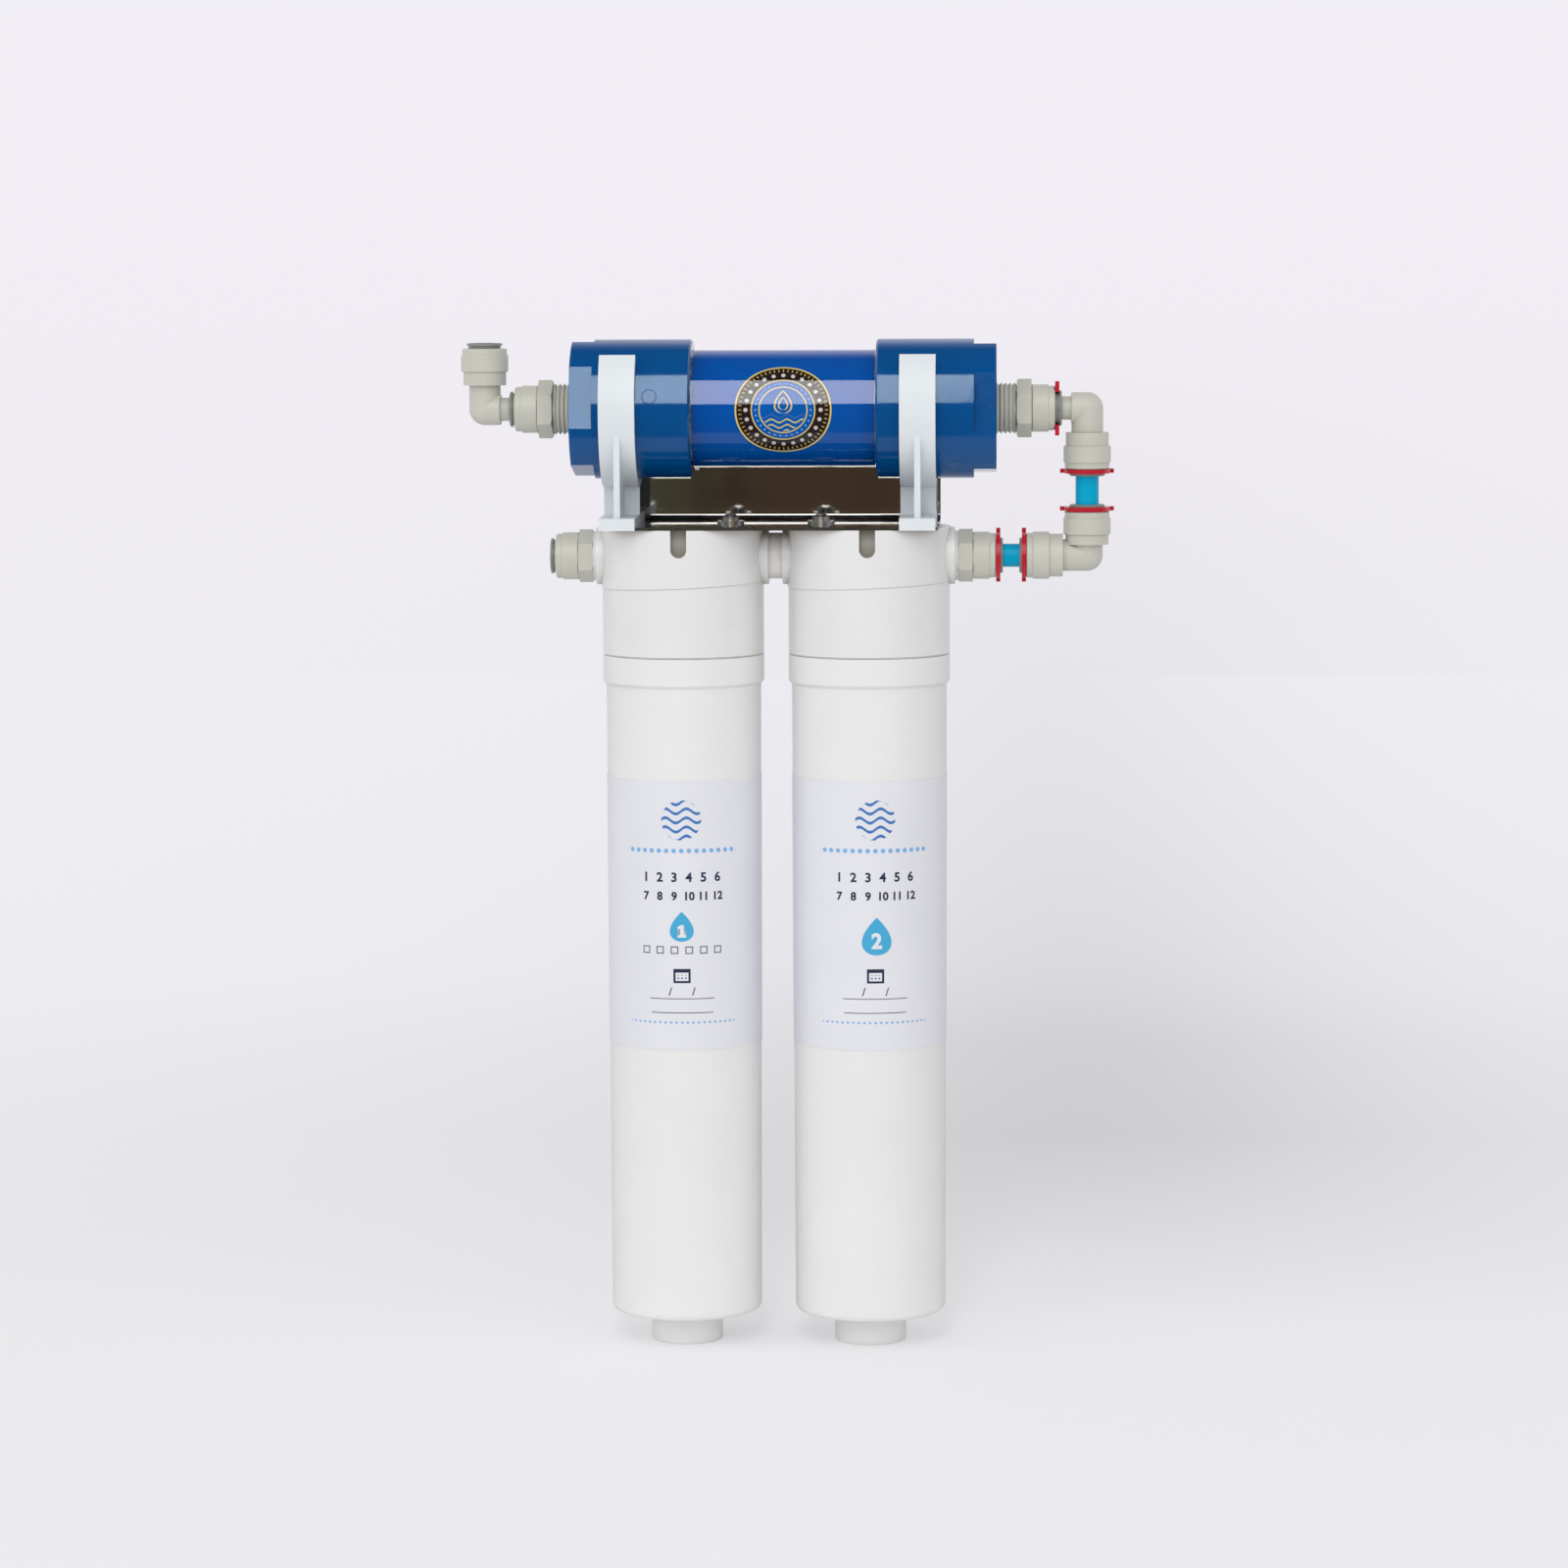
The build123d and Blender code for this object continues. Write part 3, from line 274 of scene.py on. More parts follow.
def mouldedPlastic(name, look):
    # the colour drifts a little, gloss wanders where hands have been, and the skin has a fine
    # mould grain over slow sink marks; pale plastics also carry a few dust specks
    material, graph = newMaterial(name)
    place = graph.objectPlace()
    colour = look["colour"]
    darker = tuple(value * (1 - look["drift"]) for value in colour)
    slow = graph.noise(place, look["sink"], 3.0)
    grain = graph.noise(place, look["grain"], 2.0, 0.6)
    base = graph.tint(graph.fit(slow, *noiseCore, *unit), darker, colour)
    if look["specks"]:
        cells = graph.add("ShaderNodeTexVoronoi", {"Vector": place, "Scale": dust["cells"]})
        chosen = graph.calc("LESS_THAN", graph.add("ShaderNodeSeparateColor", {
            "Color": cells.outputs["Color"]}).outputs[0], look["specks"])
        speck = graph.both(graph.within(cells.outputs["Distance"], dust["radius"], dust["soft"]), chosen)
        base = graph.tint(graph.calc("MULTIPLY", speck, dust["share"]), base, dust["tone"])
    if "creviceShade" in look:
        # painted shade: where the occlusion mask finds the notches, the gaps between the threads and the
        # steps, the colour is darkened, warmer on the heads
        creviceShade = look["creviceShade"]
        inputs = {"Distance": creviceShade["reach"]}
        clear = graph.add("ShaderNodeAmbientOcclusion", inputs, samples=6).outputs["AO"]
        shadedTone = tuple(value * share for value, share in zip(colour, creviceShade["share"]))
        base = graph.tint(graph.fit(clear, creviceShade["shut"], creviceShade["open"], *unit), shadedTone, base)
    drawnOut = graph.stretched(place, handling["stretch"])
    touched = graph.noise(drawnOut, look["sink"] * handling["finer"], 5.0, 0.6)
    touched = graph.calc("ADD", touched, graph.calc("MULTIPLY", grain, handling["grain"]))
    shine = graph.fit(touched, *handling["span"], *look["roughness"])
    skin = graph.bump(grain, look["grainDepth"])
    skin = graph.bump(slow, look["sinkDepth"], handling["sink"], skin)
    surface = graph.add("ShaderNodeBsdfPrincipled", {
        "Base Color": base, "Roughness": shine, "Normal": skin,
        "IOR": look.get("index", plainGloss["index"]),
        "Specular Tint": (*look.get("shineTint", plainGloss["tint"]), 1.0),
    })
    graph.finish(surface.outputs[0])
    return material


metals = {
    "stainless_sheet": {
        "colour": (0.60, 0.575, 0.54), "dark": (0.55, 0.525, 0.49), "roughness": (0.035, 0.085),
        "streak": (9.0, 700.0, 700.0), "streakDepth": 0.000004, "smudge": 70.0,
        "worn": {"half": 0.06675, "front": -0.06545, "top": 0.01575, "cut": (0.25, 0.25, 0.235),
                 "foldY": -0.0036, "foldZ": -0.0402, "fold": (0.40, 0.385, 0.36), "dull": 0.22},
    },
    "screw_steel": {
        "colour": (0.92, 0.91, 0.88), "dark": (0.82, 0.80, 0.76), "roughness": (0.26, 0.40),
        "streak": (500.0, 500.0, 260.0), "streakDepth": 0.00001, "smudge": 70.0,
    },
}


def brightMetal(name, look):
    # polished sheet or plated steel: faint drawn streaks in the tone, the gloss and the bump
    material, graph = newMaterial(name)
    place = graph.objectPlace()
    streaks = graph.noise(graph.stretched(place, look["streak"]), 1.0, 4.0, 0.6)
    smudge = graph.noise(place, look["smudge"], 4.0, 0.55)
    base = graph.tint(graph.fit(smudge, *noiseSpan, *unit), look["dark"], look["colour"])
    shine = graph.fit(graph.calc("ADD", streaks, smudge), 0.75, 1.3, *look["roughness"])
    if "worn" in look:
        # the sheet's sheared edges are dull and dark, and the stretched skin of its fold a little
        worn = look["worn"]
        split = graph.parts(place)
        cut = graph.either(graph.calc("GREATER_THAN", graph.calc("ABSOLUTE", split[0]), worn["half"]),
                           graph.calc("LESS_THAN", split[1], worn["front"]),
                           graph.calc("GREATER_THAN", split[2], worn["top"]))
        fold = graph.both(graph.calc("GREATER_THAN", split[1], worn["foldY"]),
                          graph.calc("LESS_THAN", split[2], worn["foldZ"]))
        base = graph.tint(cut, graph.tint(fold, base, worn["fold"]), worn["cut"])
        shine = graph.calc("ADD", shine, graph.calc("MULTIPLY", cut, worn["dull"]))
    surface = graph.add("ShaderNodeBsdfPrincipled", {
        "Base Color": base, "Metallic": 1.0, "Roughness": shine,
        "Normal": graph.bump(streaks, look["streakDepth"], 0.5),
    })
    graph.finish(surface.outputs[0])
    return material


tubeLook = {
    "colour": (0.0, 0.40, 0.66), "pale": (0.0, 0.44, 0.70),
    "cloud": 160.0, "cloudSpan": (0.35, 0.7, 0.0, 0.6),
    "line": 260.0, "lineDepth": 0.00001, "roughness": (0.20, 0.32),
    "index": 1.33, "shineTint": (0.5, 0.95, 1.0),
}


def drawnTube(name, look):
    # push-in tubing: bright blue, a little cloudy, with faint lines in the gloss and the bump
    material, graph = newMaterial(name)
    place = graph.objectPlace()
    cloud = graph.noise(place, look["cloud"], 3.0)
    lines = graph.noise(place, look["line"], 2.0)
    surface = graph.add("ShaderNodeBsdfPrincipled", {
        "Base Color": graph.tint(graph.fit(cloud, *look["cloudSpan"]), look["colour"], look["pale"]),
        "Roughness": graph.fit(lines, *noiseSpan, *look["roughness"]),
        "Normal": graph.bump(lines, look["lineDepth"], 0.5), "IOR": look["index"],
        "Specular Tint": (*look["shineTint"], 1.0),
    })
    graph.finish(surface.outputs[0])
    return material


granules = {
    "chamber_media": {"cell": 700.0, "dark": (0.16, 0.13, 0.10), "pale": (0.55, 0.47, 0.36),
                      "roughness": (0.65, 0.9), "proud": 0.0004},
    "filter_block": {"cell": 1400.0, "dark": (0.012, 0.012, 0.012), "pale": (0.05, 0.05, 0.052),
                     "roughness": (0.65, 0.9), "proud": 0.0004},
}


def packedGrains(name, look):
    # loose or pressed grains: each cell has its own tone and stands a little proud
    material, graph = newMaterial(name)
    place = graph.objectPlace()
    cells = graph.add("ShaderNodeTexVoronoi", {"Vector": place, "Scale": look["cell"]})
    share = graph.add("ShaderNodeSeparateColor", {"Color": cells.outputs["Color"]}).outputs[0]
    surface = graph.add("ShaderNodeBsdfPrincipled", {
        "Base Color": graph.tint(share, look["dark"], look["pale"]),
        "Roughness": graph.fit(share, *unit, *look["roughness"]),
        "Normal": graph.bump(cells.outputs["Distance"], look["proud"], 0.8),
    })
    graph.finish(surface.outputs[0])
    return material


clearLook = {
    "tint": (0.93, 0.96, 0.98), "roughness": (0.008, 0.03), "index": 1.58,
    "drawn": (40.0, 900.0, 900.0), "drawnDepth": 0.000012, "smear": 120.0,
}


def clearPlastic(name, look):
    # clear extruded tube: light on its way to what lies inside passes straight through, and
    # drawn lines run along it
    material, graph = newMaterial(name)
    place = graph.objectPlace()
    lines = graph.noise(graph.stretched(place, look["drawn"]), 1.0, 3.0)
    smear = graph.noise(place, look["smear"], 3.0)
    glass = graph.add("ShaderNodeBsdfPrincipled", {
        "Base Color": (*look["tint"], 1.0), "Roughness": graph.fit(smear, *noiseSpan, *look["roughness"]),
        "Transmission Weight": 1.0, "IOR": look["index"],
        "Normal": graph.bump(lines, look["drawnDepth"], 0.4),
    })
    through = graph.add("ShaderNodeBsdfTransparent", {"Color": (*look["tint"], 1.0)})
    path = graph.add("ShaderNodeLightPath").outputs
    straight = graph.either(path["Is Shadow Ray"], path["Is Diffuse Ray"])
    graph.finish(graph.blend(straight, glass.outputs[0], through.outputs[0]))
    return material


def roundPlace(graph, centre, radius, turn=0.0):
    # millimetres round an upright cylinder from its front, and height in millimetres
    split = graph.parts(graph.objectPlace())
    across = graph.calc("SUBTRACT", split[0], centre)
    depth = graph.calc("SUBTRACT", axisY, split[1])
    angle = graph.calc("SUBTRACT", graph.calc("ARCTAN2", across, depth), math.radians(turn))
    return graph.calc("MULTIPLY", angle, radius / mm), graph.calc("DIVIDE", split[2], mm)


labelLook = {
    "paper": (0.80, 0.80, 0.85), "mottle": (0.785, 0.785, 0.837), "mottleSize": 45.0,
    "fibre": 1800.0, "fibreDepth": 0.00002, "roughness": (0.34, 0.44), "index": 1.48,
    "soft": 0.09,    # width of a print's edge, in millimetres as all below
    "deepBlue": (0.045, 0.19, 0.52), "paleBlue": (0.20, 0.46, 0.78),
    "navy": (0.022, 0.028, 0.075), "cyan": (0.055, 0.42, 0.70),
    "waves": {"z": -161.4, "step": 3.7, "swing": 1.05, "length": 8.6, "half": 8.2, "line": 0.62,
              "rows": 8.88},
    "beads": {"z": -173.9, "pitch": 3.1, "radius": 0.95, "half": 24.0},
    "boxes": {"z": -214.6, "pitch": 6.0, "half": 1.45, "line": 0.2, "reach": 18.0},
    "calendar": {"z": -225.2, "half": (3.3, 2.7), "head": 1.3, "line": 0.45},
    "days": {"z": -226.1, "across": (1.5, 0.32, 2.8), "up": (1.4, 0.3, 1.3)},
    "rule": {"z": -234.6, "half": 13.5, "line": 0.16},
    "slashes": {"z": -231.6, "spacing": 9.6, "lean": 0.32, "half": 1.7, "line": 0.24,
                "reach": 9.12},
    "foot": {"z": -244.4, "pitch": 2.3, "radius": 0.52, "half": 23.0},
    "footRule": {"z": -240.4, "half": 13.0, "line": 0.17},
}
labels = {
    1: {"centre": -0.0381, "turn": 0.8, "boxes": True,
        "drop": {"z": -204.9, "wide": 5.0, "high": 12.4, "x": 0.0}},
    2: {"centre": 0.0381, "turn": 5.6, "boxes": False,
        "drop": {"z": -208.8, "wide": 6.2, "high": 15.6, "x": 0.5}},
}


def printedLabel(name, look, label):
    # white film printed with plain marks; every mark is a mask in millimetres on the unrolled label
    material, graph = newMaterial(name)
    x, z = roundPlace(graph, label["centre"], printRadius, label["turn"])
    soft = look["soft"]

    waves = look["waves"]
    swing = graph.calc("MULTIPLY", graph.calc(
        "SINE", graph.calc("MULTIPLY", x, 2 * math.pi / waves["length"])), waves["swing"])
    level = graph.calc("SUBTRACT", graph.calc("SUBTRACT", z, waves["z"]), swing)
    rows = graph.repeat(level, waves["step"])
    waveMask = graph.both(
        graph.strip(rows, 0.0, waves["line"], soft),
        graph.strip(level, 0.0, waves["rows"], soft),
        graph.within(graph.spread(x, graph.calc("SUBTRACT", z, waves["z"])), waves["half"], soft),
    )

    def beadRow(row):
        gap = graph.spread(graph.repeat(x, row["pitch"]), graph.calc("SUBTRACT", z, row["z"]))
        return graph.both(graph.within(gap, row["radius"], soft), graph.strip(x, 0.0, row["half"], soft))

    def plainRule(row):
        return graph.both(graph.strip(z, row["z"], row["line"], soft),
                          graph.strip(x, 0.0, row["half"], soft))

    def frameMask(across, up, halfWide, halfHigh, line):
        reach = graph.either(
            graph.calc("SUBTRACT", graph.calc("ABSOLUTE", across), halfWide),
            graph.calc("SUBTRACT", graph.calc("ABSOLUTE", up), halfHigh))
        return graph.strip(reach, -line / 2, line, soft)

    def dashes(value, pitch, half, reach):
        return graph.both(graph.strip(graph.repeat(value, pitch), 0.0, half, soft),
                          graph.strip(value, 0.0, reach, soft))

    boxes = look["boxes"]
    boxShift = graph.calc("ADD", x, boxes["pitch"] / 2)
    boxMask = graph.both(
        frameMask(graph.repeat(boxShift, boxes["pitch"]), graph.calc("SUBTRACT", z, boxes["z"]),
                  boxes["half"], boxes["half"], boxes["line"]),
        graph.strip(x, 0.0, boxes["reach"], soft))
    calendar = look["calendar"]
    wide, high = calendar["half"]
    fromCalendar = graph.calc("SUBTRACT", z, calendar["z"])
    days = look["days"]
    fromDays = graph.calc("SUBTRACT", z, days["z"])
    calendarMask = graph.either(
        frameMask(x, fromCalendar, wide, high, calendar["line"]),
        graph.both(graph.strip(x, 0.0, wide, soft), graph.strip(
            fromCalendar, high - calendar["head"] / 2, calendar["head"] / 2, soft)),
        graph.both(dashes(x, *days["across"]), dashes(fromDays, *days["up"])))
    slashes = look["slashes"]
    fromSlash = graph.calc("SUBTRACT", z, slashes["z"])
    lean = graph.calc("MULTIPLY", fromSlash, slashes["lean"])
    slashShift = graph.calc("ADD", graph.calc("SUBTRACT", x, lean), slashes["spacing"] / 2)
    slashMask = graph.both(
        graph.strip(graph.repeat(slashShift, slashes["spacing"]), 0.0, slashes["line"], soft),
        graph.strip(fromSlash, 0.0, slashes["half"], soft),
        graph.strip(x, 0.0, slashes["reach"], soft))

    drop = label["drop"]
    rise = graph.calc("DIVIDE", graph.calc(
        "SUBTRACT", z, drop["z"] - drop["high"] / 2), drop["high"], clamp=True)
    # half width of a drop: the root of the rise times what is left of it, widest near the foot
    waist = graph.calc("MULTIPLY", graph.calc("MULTIPLY", graph.calc("SQRT", rise),
                       graph.calc("SUBTRACT", 1.0, rise)), dropFullness * drop["wide"])
    fromDrop = graph.calc("ABSOLUTE", graph.calc("SUBTRACT", x, drop["x"]))
    dropMask = graph.fit(graph.calc("SUBTRACT", fromDrop, waist), -2 * soft, 0.0, 1.0, 0.0)

    mottle = graph.noise(graph.objectPlace(), look["mottleSize"], 3.0)
    paper = graph.tint(graph.fit(mottle, *noiseCore, *unit), look["paper"], look["mottle"])
    beads = graph.either(beadRow(look["beads"]), beadRow(look["foot"]))
    inked = graph.tint(beads, paper, look["paleBlue"])
    inked = graph.tint(waveMask, inked, look["deepBlue"])
    dark = graph.either(calendarMask, slashMask, plainRule(look["rule"]), plainRule(look["footRule"]))
    if label["boxes"]:
        dark = graph.either(dark, boxMask)
    inked = graph.tint(dark, inked, look["navy"])
    inked = graph.tint(dropMask, inked, look["cyan"])
    fibre = graph.noise(graph.objectPlace(), look["fibre"], 3.0, 0.6)
    surface = graph.add("ShaderNodeBsdfPrincipled", {
        "Base Color": inked, "Roughness": graph.fit(fibre, *noiseSpan, *look["roughness"]),
        "Normal": graph.bump(fibre, look["fibreDepth"], 0.6), "IOR": look["index"],
    })
    graph.finish(surface.outputs[0])
    return material


inks = {
    "navyInk": {"colour": (0.022, 0.028, 0.075), "worn": (0.05, 0.055, 0.11)},
    "whiteInk": {"colour": (0.80, 0.82, 0.85), "worn": (0.66, 0.74, 0.80)},
}
inkFilm = {"patches": 1500.0, "worn": (0.5, 0.8), "roughness": (0.33, 0.42), "depth": 0.00001}


def printedInk(name, look):
    # a thin ink film, slightly uneven where it took less
    material, graph = newMaterial(name)
    place = graph.objectPlace()
    patchy = graph.noise(place, inkFilm["patches"], 3.0)
    thin = graph.fit(patchy, *inkFilm["worn"], *unit)
    surface = graph.add("ShaderNodeBsdfPrincipled", {
        "Base Color": graph.tint(thin, look["colour"], look["worn"]),
        "Roughness": graph.fit(patchy, *noiseSpan, *inkFilm["roughness"]),
        "Normal": graph.bump(patchy, inkFilm["depth"], 0.5),
    })
    graph.finish(surface.outputs[0])
    return material


badgeLook = {
    "film": (0.0, 0.090, 0.40), "filmDark": (0.0, 0.080, 0.37), "cloud": 60.0,
    "fine": 900.0, "fineDepth": 0.00001, "roughness": (0.22, 0.30), "index": 1.03, "soft": 0.07,
    "gold": (0.80, 0.61, 0.16), "dark": (0.022, 0.011, 0.011), "cream": (0.66, 0.62, 0.56),
    "inner": (0.0, 0.102, 0.415), "paleBlue": (0.30, 0.52, 0.84),
    "centreX": 0.0040, "turn": 0.6, "radius": 0.02145, "flatter": 1.07,
    "rim": (19.6, 18.95), "ring": (13.1, 12.6), "circle": {"radius": 9.7, "line": 0.24},
    "ticks": {"count": 60, "radius": 17.6, "half": 0.6, "line": 0.16},
    "beads": {"count": 24, "radius": 15.2, "size": 0.85},
    "drops": {"count": 30, "radius": 11.2, "size": 0.34},
    "waves": {"step": 2.3, "swing": 0.7, "length": 6.4, "line": 0.32, "reach": 9.0, "low": -2.6},
    "drop": {"foot": -1.4, "high": 9.4, "wide": 3.4, "line": 0.32},
    "core": {"foot": 0.1, "high": 5.2, "wide": 1.8, "line": 0.26},
}


def filmPrint(name, look):
    # blue film with a round badge of plain marks: gold rims, ticks and beads, waves under a drop
    material, graph = newMaterial(name)
    place = graph.objectPlace()
    split = graph.parts(place)
    x = graph.calc("DIVIDE", graph.calc("SUBTRACT", split[0], look["centreX"]), mm)
    rise = graph.calc("SUBTRACT", split[2], chamberZ)
    depth = graph.calc("SUBTRACT", axisY, split[1])
    angle = graph.calc("SUBTRACT", graph.calc("ARCTAN2", rise, depth), math.radians(look["turn"]))
    y = graph.calc("MULTIPLY", angle, look["radius"] * look["flatter"] / mm)
    reach = graph.spread(x, y)
    bearing = graph.calc("ARCTAN2", y, x)
    soft = look["soft"]

    def ringOf(count, radius):
        # distance along the ring from the nearest of count places, and distance off the ring
        along = graph.calc("MULTIPLY", graph.repeat(bearing, 2 * math.pi / count), radius)
        return along, graph.calc("SUBTRACT", reach, radius)

    ticks = look["ticks"]
    tickAlong, tickOff = ringOf(ticks["count"], ticks["radius"])
    tickMask = graph.both(graph.strip(tickAlong, 0.0, ticks["line"], soft),
                          graph.strip(tickOff, 0.0, ticks["half"], soft))
    beadMask = graph.within(graph.spread(*ringOf(look["beads"]["count"], look["beads"]["radius"])),
                            look["beads"]["size"], soft)
    dropletMask = graph.within(graph.spread(*ringOf(look["drops"]["count"], look["drops"]["radius"])),
                               look["drops"]["size"], soft)
    waves = look["waves"]
    swing = graph.calc("MULTIPLY", graph.calc(
        "SINE", graph.calc("MULTIPLY", x, 2 * math.pi / waves["length"])), waves["swing"])
    level = graph.calc("SUBTRACT", y, swing)
    waveMask = graph.both(
        graph.strip(graph.repeat(level, waves["step"]), 0.0, waves["line"], soft),
        graph.within(reach, waves["reach"], soft),
        graph.fit(level, waves["low"] - soft, waves["low"] + soft, 1.0, 0.0))

    def dropOutline(drop):
        climb = graph.calc("DIVIDE", graph.calc("SUBTRACT", y, drop["foot"]), drop["high"], clamp=True)
        waist = graph.calc("MULTIPLY", graph.calc("MULTIPLY", graph.calc("SQRT", climb),
                           graph.calc("SUBTRACT", 1.0, climb)), dropFullness * drop["wide"])
        gap = graph.calc("SUBTRACT", graph.calc("ABSOLUTE", x), waist)
        return graph.both(graph.strip(gap, 0.0, drop["line"], soft),
                          graph.calc("GREATER_THAN", climb, 0.001), graph.calc("LESS_THAN", climb, 0.999))

    cloud = graph.fit(graph.noise(place, look["cloud"], 3.0), *noiseCore, *unit)
    base = graph.tint(cloud, look["filmDark"], look["film"])
    outer, inner = look["rim"]
    base = graph.tint(graph.within(reach, outer, soft), base, look["gold"])
    base = graph.tint(graph.within(reach, inner, soft), base, look["dark"])
    base = graph.tint(tickMask, base, look["gold"])
    base = graph.tint(beadMask, base, look["cream"])
    ringOuter, ringInner = look["ring"]
    base = graph.tint(graph.within(reach, ringOuter, soft), base, look["gold"])
    base = graph.tint(graph.within(reach, ringInner, soft), base, look["inner"])
    base = graph.tint(dropletMask, base, look["paleBlue"])
    circle = graph.strip(reach, look["circle"]["radius"], look["circle"]["line"], soft)
    drawing = graph.either(waveMask, circle, dropOutline(look["drop"]), dropOutline(look["core"]))
    base = graph.tint(drawing, base, look["gold"])
    fine = graph.noise(place, look["fine"], 2.0)
    surface = graph.add("ShaderNodeBsdfPrincipled", {
        "Base Color": base, "Roughness": graph.fit(fine, *noiseSpan, *look["roughness"]),
        "Normal": graph.bump(fine, look["fineDepth"], 0.5), "IOR": look["index"],
    })
    graph.finish(surface.outputs[0])
    return material


finishes = {name: mouldedPlastic(name, look) for name, look in plastics.items()}
finishes.update({name: brightMetal(name, look) for name, look in metals.items()})
finishes.update({name: packedGrains(name, look) for name, look in granules.items()})
finishes["blue_tube"] = drawnTube("blue_tube", tubeLook)
finishes["clear_plastic"] = clearPlastic("clear_plastic", clearLook)
finishes["blue_film"] = filmPrint("blue_film", badgeLook)
for number, label in labels.items():
    finishes[f"label{number}"] = printedLabel(f"label{number}", labelLook, label)
finishes["label_film"] = finishes["label1"]
for name, look in inks.items():
    finishes[name] = printedInk(name, look)

for subpart in frame["record"]["subparts"]:
    meshData = frame["nodes"][subpart["node"]].data
    meshData.materials.clear()
    meshData.materials.append(finishes[subpart["material_slot"]])


print("stage: surfaces")


def addPiece(name, points, faces, material, body):
    # points is an array of rows x, y, z; faces is a list of vertex number tuples
    mesh = bpy.data.meshes.new(name)
    mesh.from_pydata(points.reshape(-1, 3).tolist(), [], faces)
    mesh.polygons.foreach_set("use_smooth", np.full(len(mesh.polygons), True))
    mesh.materials.append(material)
    mesh.update()
    piece = bpy.data.objects.new(name, mesh)
    bpy.context.scene.collection.objects.link(piece)
    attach(piece, body)
    return piece


def gridFaces(rows, columns, closedRows, closedColumns):
    # quads between neighbouring points of a grid, wrapped round where a direction is closed
    row = np.arange(rows if closedRows else rows - 1)
    column = np.arange(columns if closedColumns else columns - 1)
    i, j = (part.ravel() for part in np.meshgrid(row, column, indexing="ij"))
    nextI, nextJ = (i + 1) % rows, (j + 1) % columns
    corners = (i * columns + j, nextI * columns + j, nextI * columns + nextJ, i * columns + nextJ)
    return np.stack(corners, axis=1).tolist()


def smoothByAngle(piece, degrees=35.0):
    # edges sharper than the angle stay crisp
    edges = piece.data
    work = bmesh.new()
    work.from_mesh(edges)
    bmesh.ops.recalc_face_normals(work, faces=work.faces)
    for edge in work.edges:
        edge.smooth = len(edge.link_faces) == 2 and edge.calc_face_angle(0.0) < math.radians(degrees)
    work.to_mesh(edges)
    work.free()


chamberTube = {"outer": 0.0239, "inner": 0.0214, "edge": 0.0003, "steps": 240}
# the film's printed face lies just inside the clear wall, so no air gap shows between them
filmSheet = {"outer": 0.02145, "inner": 0.0213, "edge": 0.00002, "steps": 240}


def levelSleeve(name, low, high, sleeve, slot):
    # a closed outline in length and radius, carried round the chamber's axis:
    # point = (length, axis depth - radius times cosine, axis height + radius times sine)
    inner, outer, edge, steps = (sleeve[key] for key in ("inner", "outer", "edge", "steps"))
    outline = np.array([
        (low, inner), (low, outer - edge), (low + edge, outer), (high - edge, outer),
        (high, outer - edge), (high, inner),
    ])
    turn = np.linspace(0.0, 2 * np.pi, steps, endpoint=False)[:, None]
    length, radius = outline[None, :, 0], outline[None, :, 1]
    points = np.stack((
        np.broadcast_to(length, (steps, len(outline))),
        axisY - radius * np.cos(turn),
        chamberZ + radius * np.sin(turn),
    ), axis=-1)
    faces = gridFaces(steps, len(outline), True, True)
    piece = addPiece(name, points, faces, finishes[slot], "frame")
    smoothByAngle(piece)
    return piece


tubeLow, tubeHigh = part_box("chamber_tube")
clearTube = levelSleeve("clearTube", tubeLow.x, tubeHigh.x, chamberTube, "clear_plastic")
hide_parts("chamber_tube")
filmLow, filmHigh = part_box("chamber_label")
blueFilm = levelSleeve("blueFilm", filmLow.x, filmHigh.x, filmSheet, "blue_film")
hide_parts("chamber_label")

cartridgeWall = {"footZ": -0.3687, "footRadius": 0.0310, "topZ": -0.1068, "topRadius": 0.03175}
labelSheet = {"low": -0.2557, "high": -0.1457, "arc": 250.0, "gap": 0.00003, "film": 0.00015,
              "steps": 200}


def wallRadius(z):
    # the cartridge tapers evenly from its top to its foot
    wall = cartridgeWall
    share = (z - wall["footZ"]) / (wall["topZ"] - wall["footZ"])
    return wall["footRadius"] + share * (wall["topRadius"] - wall["footRadius"])


def wrapped(across, up, proud, centre, turn):
    # flat places laid on the cartridge: angle is across over radius, and proud is added to the radius
    radius = wallRadius(up)
    angle = np.radians(turn) + across / printRadius
    return np.stack((
        centre + (radius + proud) * np.sin(angle), axisY - (radius + proud) * np.cos(angle), up,
    ), axis=-1)


def labelPiece(number, label):
    # a thin closed sheet: four corners of film thickness by height, carried round the front
    sheet = labelSheet
    angle = np.radians(np.linspace(-sheet["arc"] / 2, sheet["arc"] / 2, sheet["steps"]))
    corners = [(sheet["low"], 0.0), (sheet["low"], sheet["film"]),
               (sheet["high"], sheet["film"]), (sheet["high"], 0.0)]
    across, upright = angle * printRadius, np.ones(sheet["steps"])
    points = np.stack([
        wrapped(across, z * upright, sheet["gap"] + proud, label["centre"], 0.0) for z, proud in corners
    ], axis=1)
    count = len(corners)
    faces = gridFaces(sheet["steps"], count, False, True)
    last = (sheet["steps"] - 1) * count
    faces += [tuple(range(count)), tuple(range(last + count - 1, last - 1, -1))]
    piece = addPiece(f"cartridgeLabel{number}", points, faces, finishes[f"label{number}"],
                     f"cartridge_{number}")
    smoothByAngle(piece)
    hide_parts(f"cartridge_{number}_label")


for number, label in labels.items():
    labelPiece(number, label)

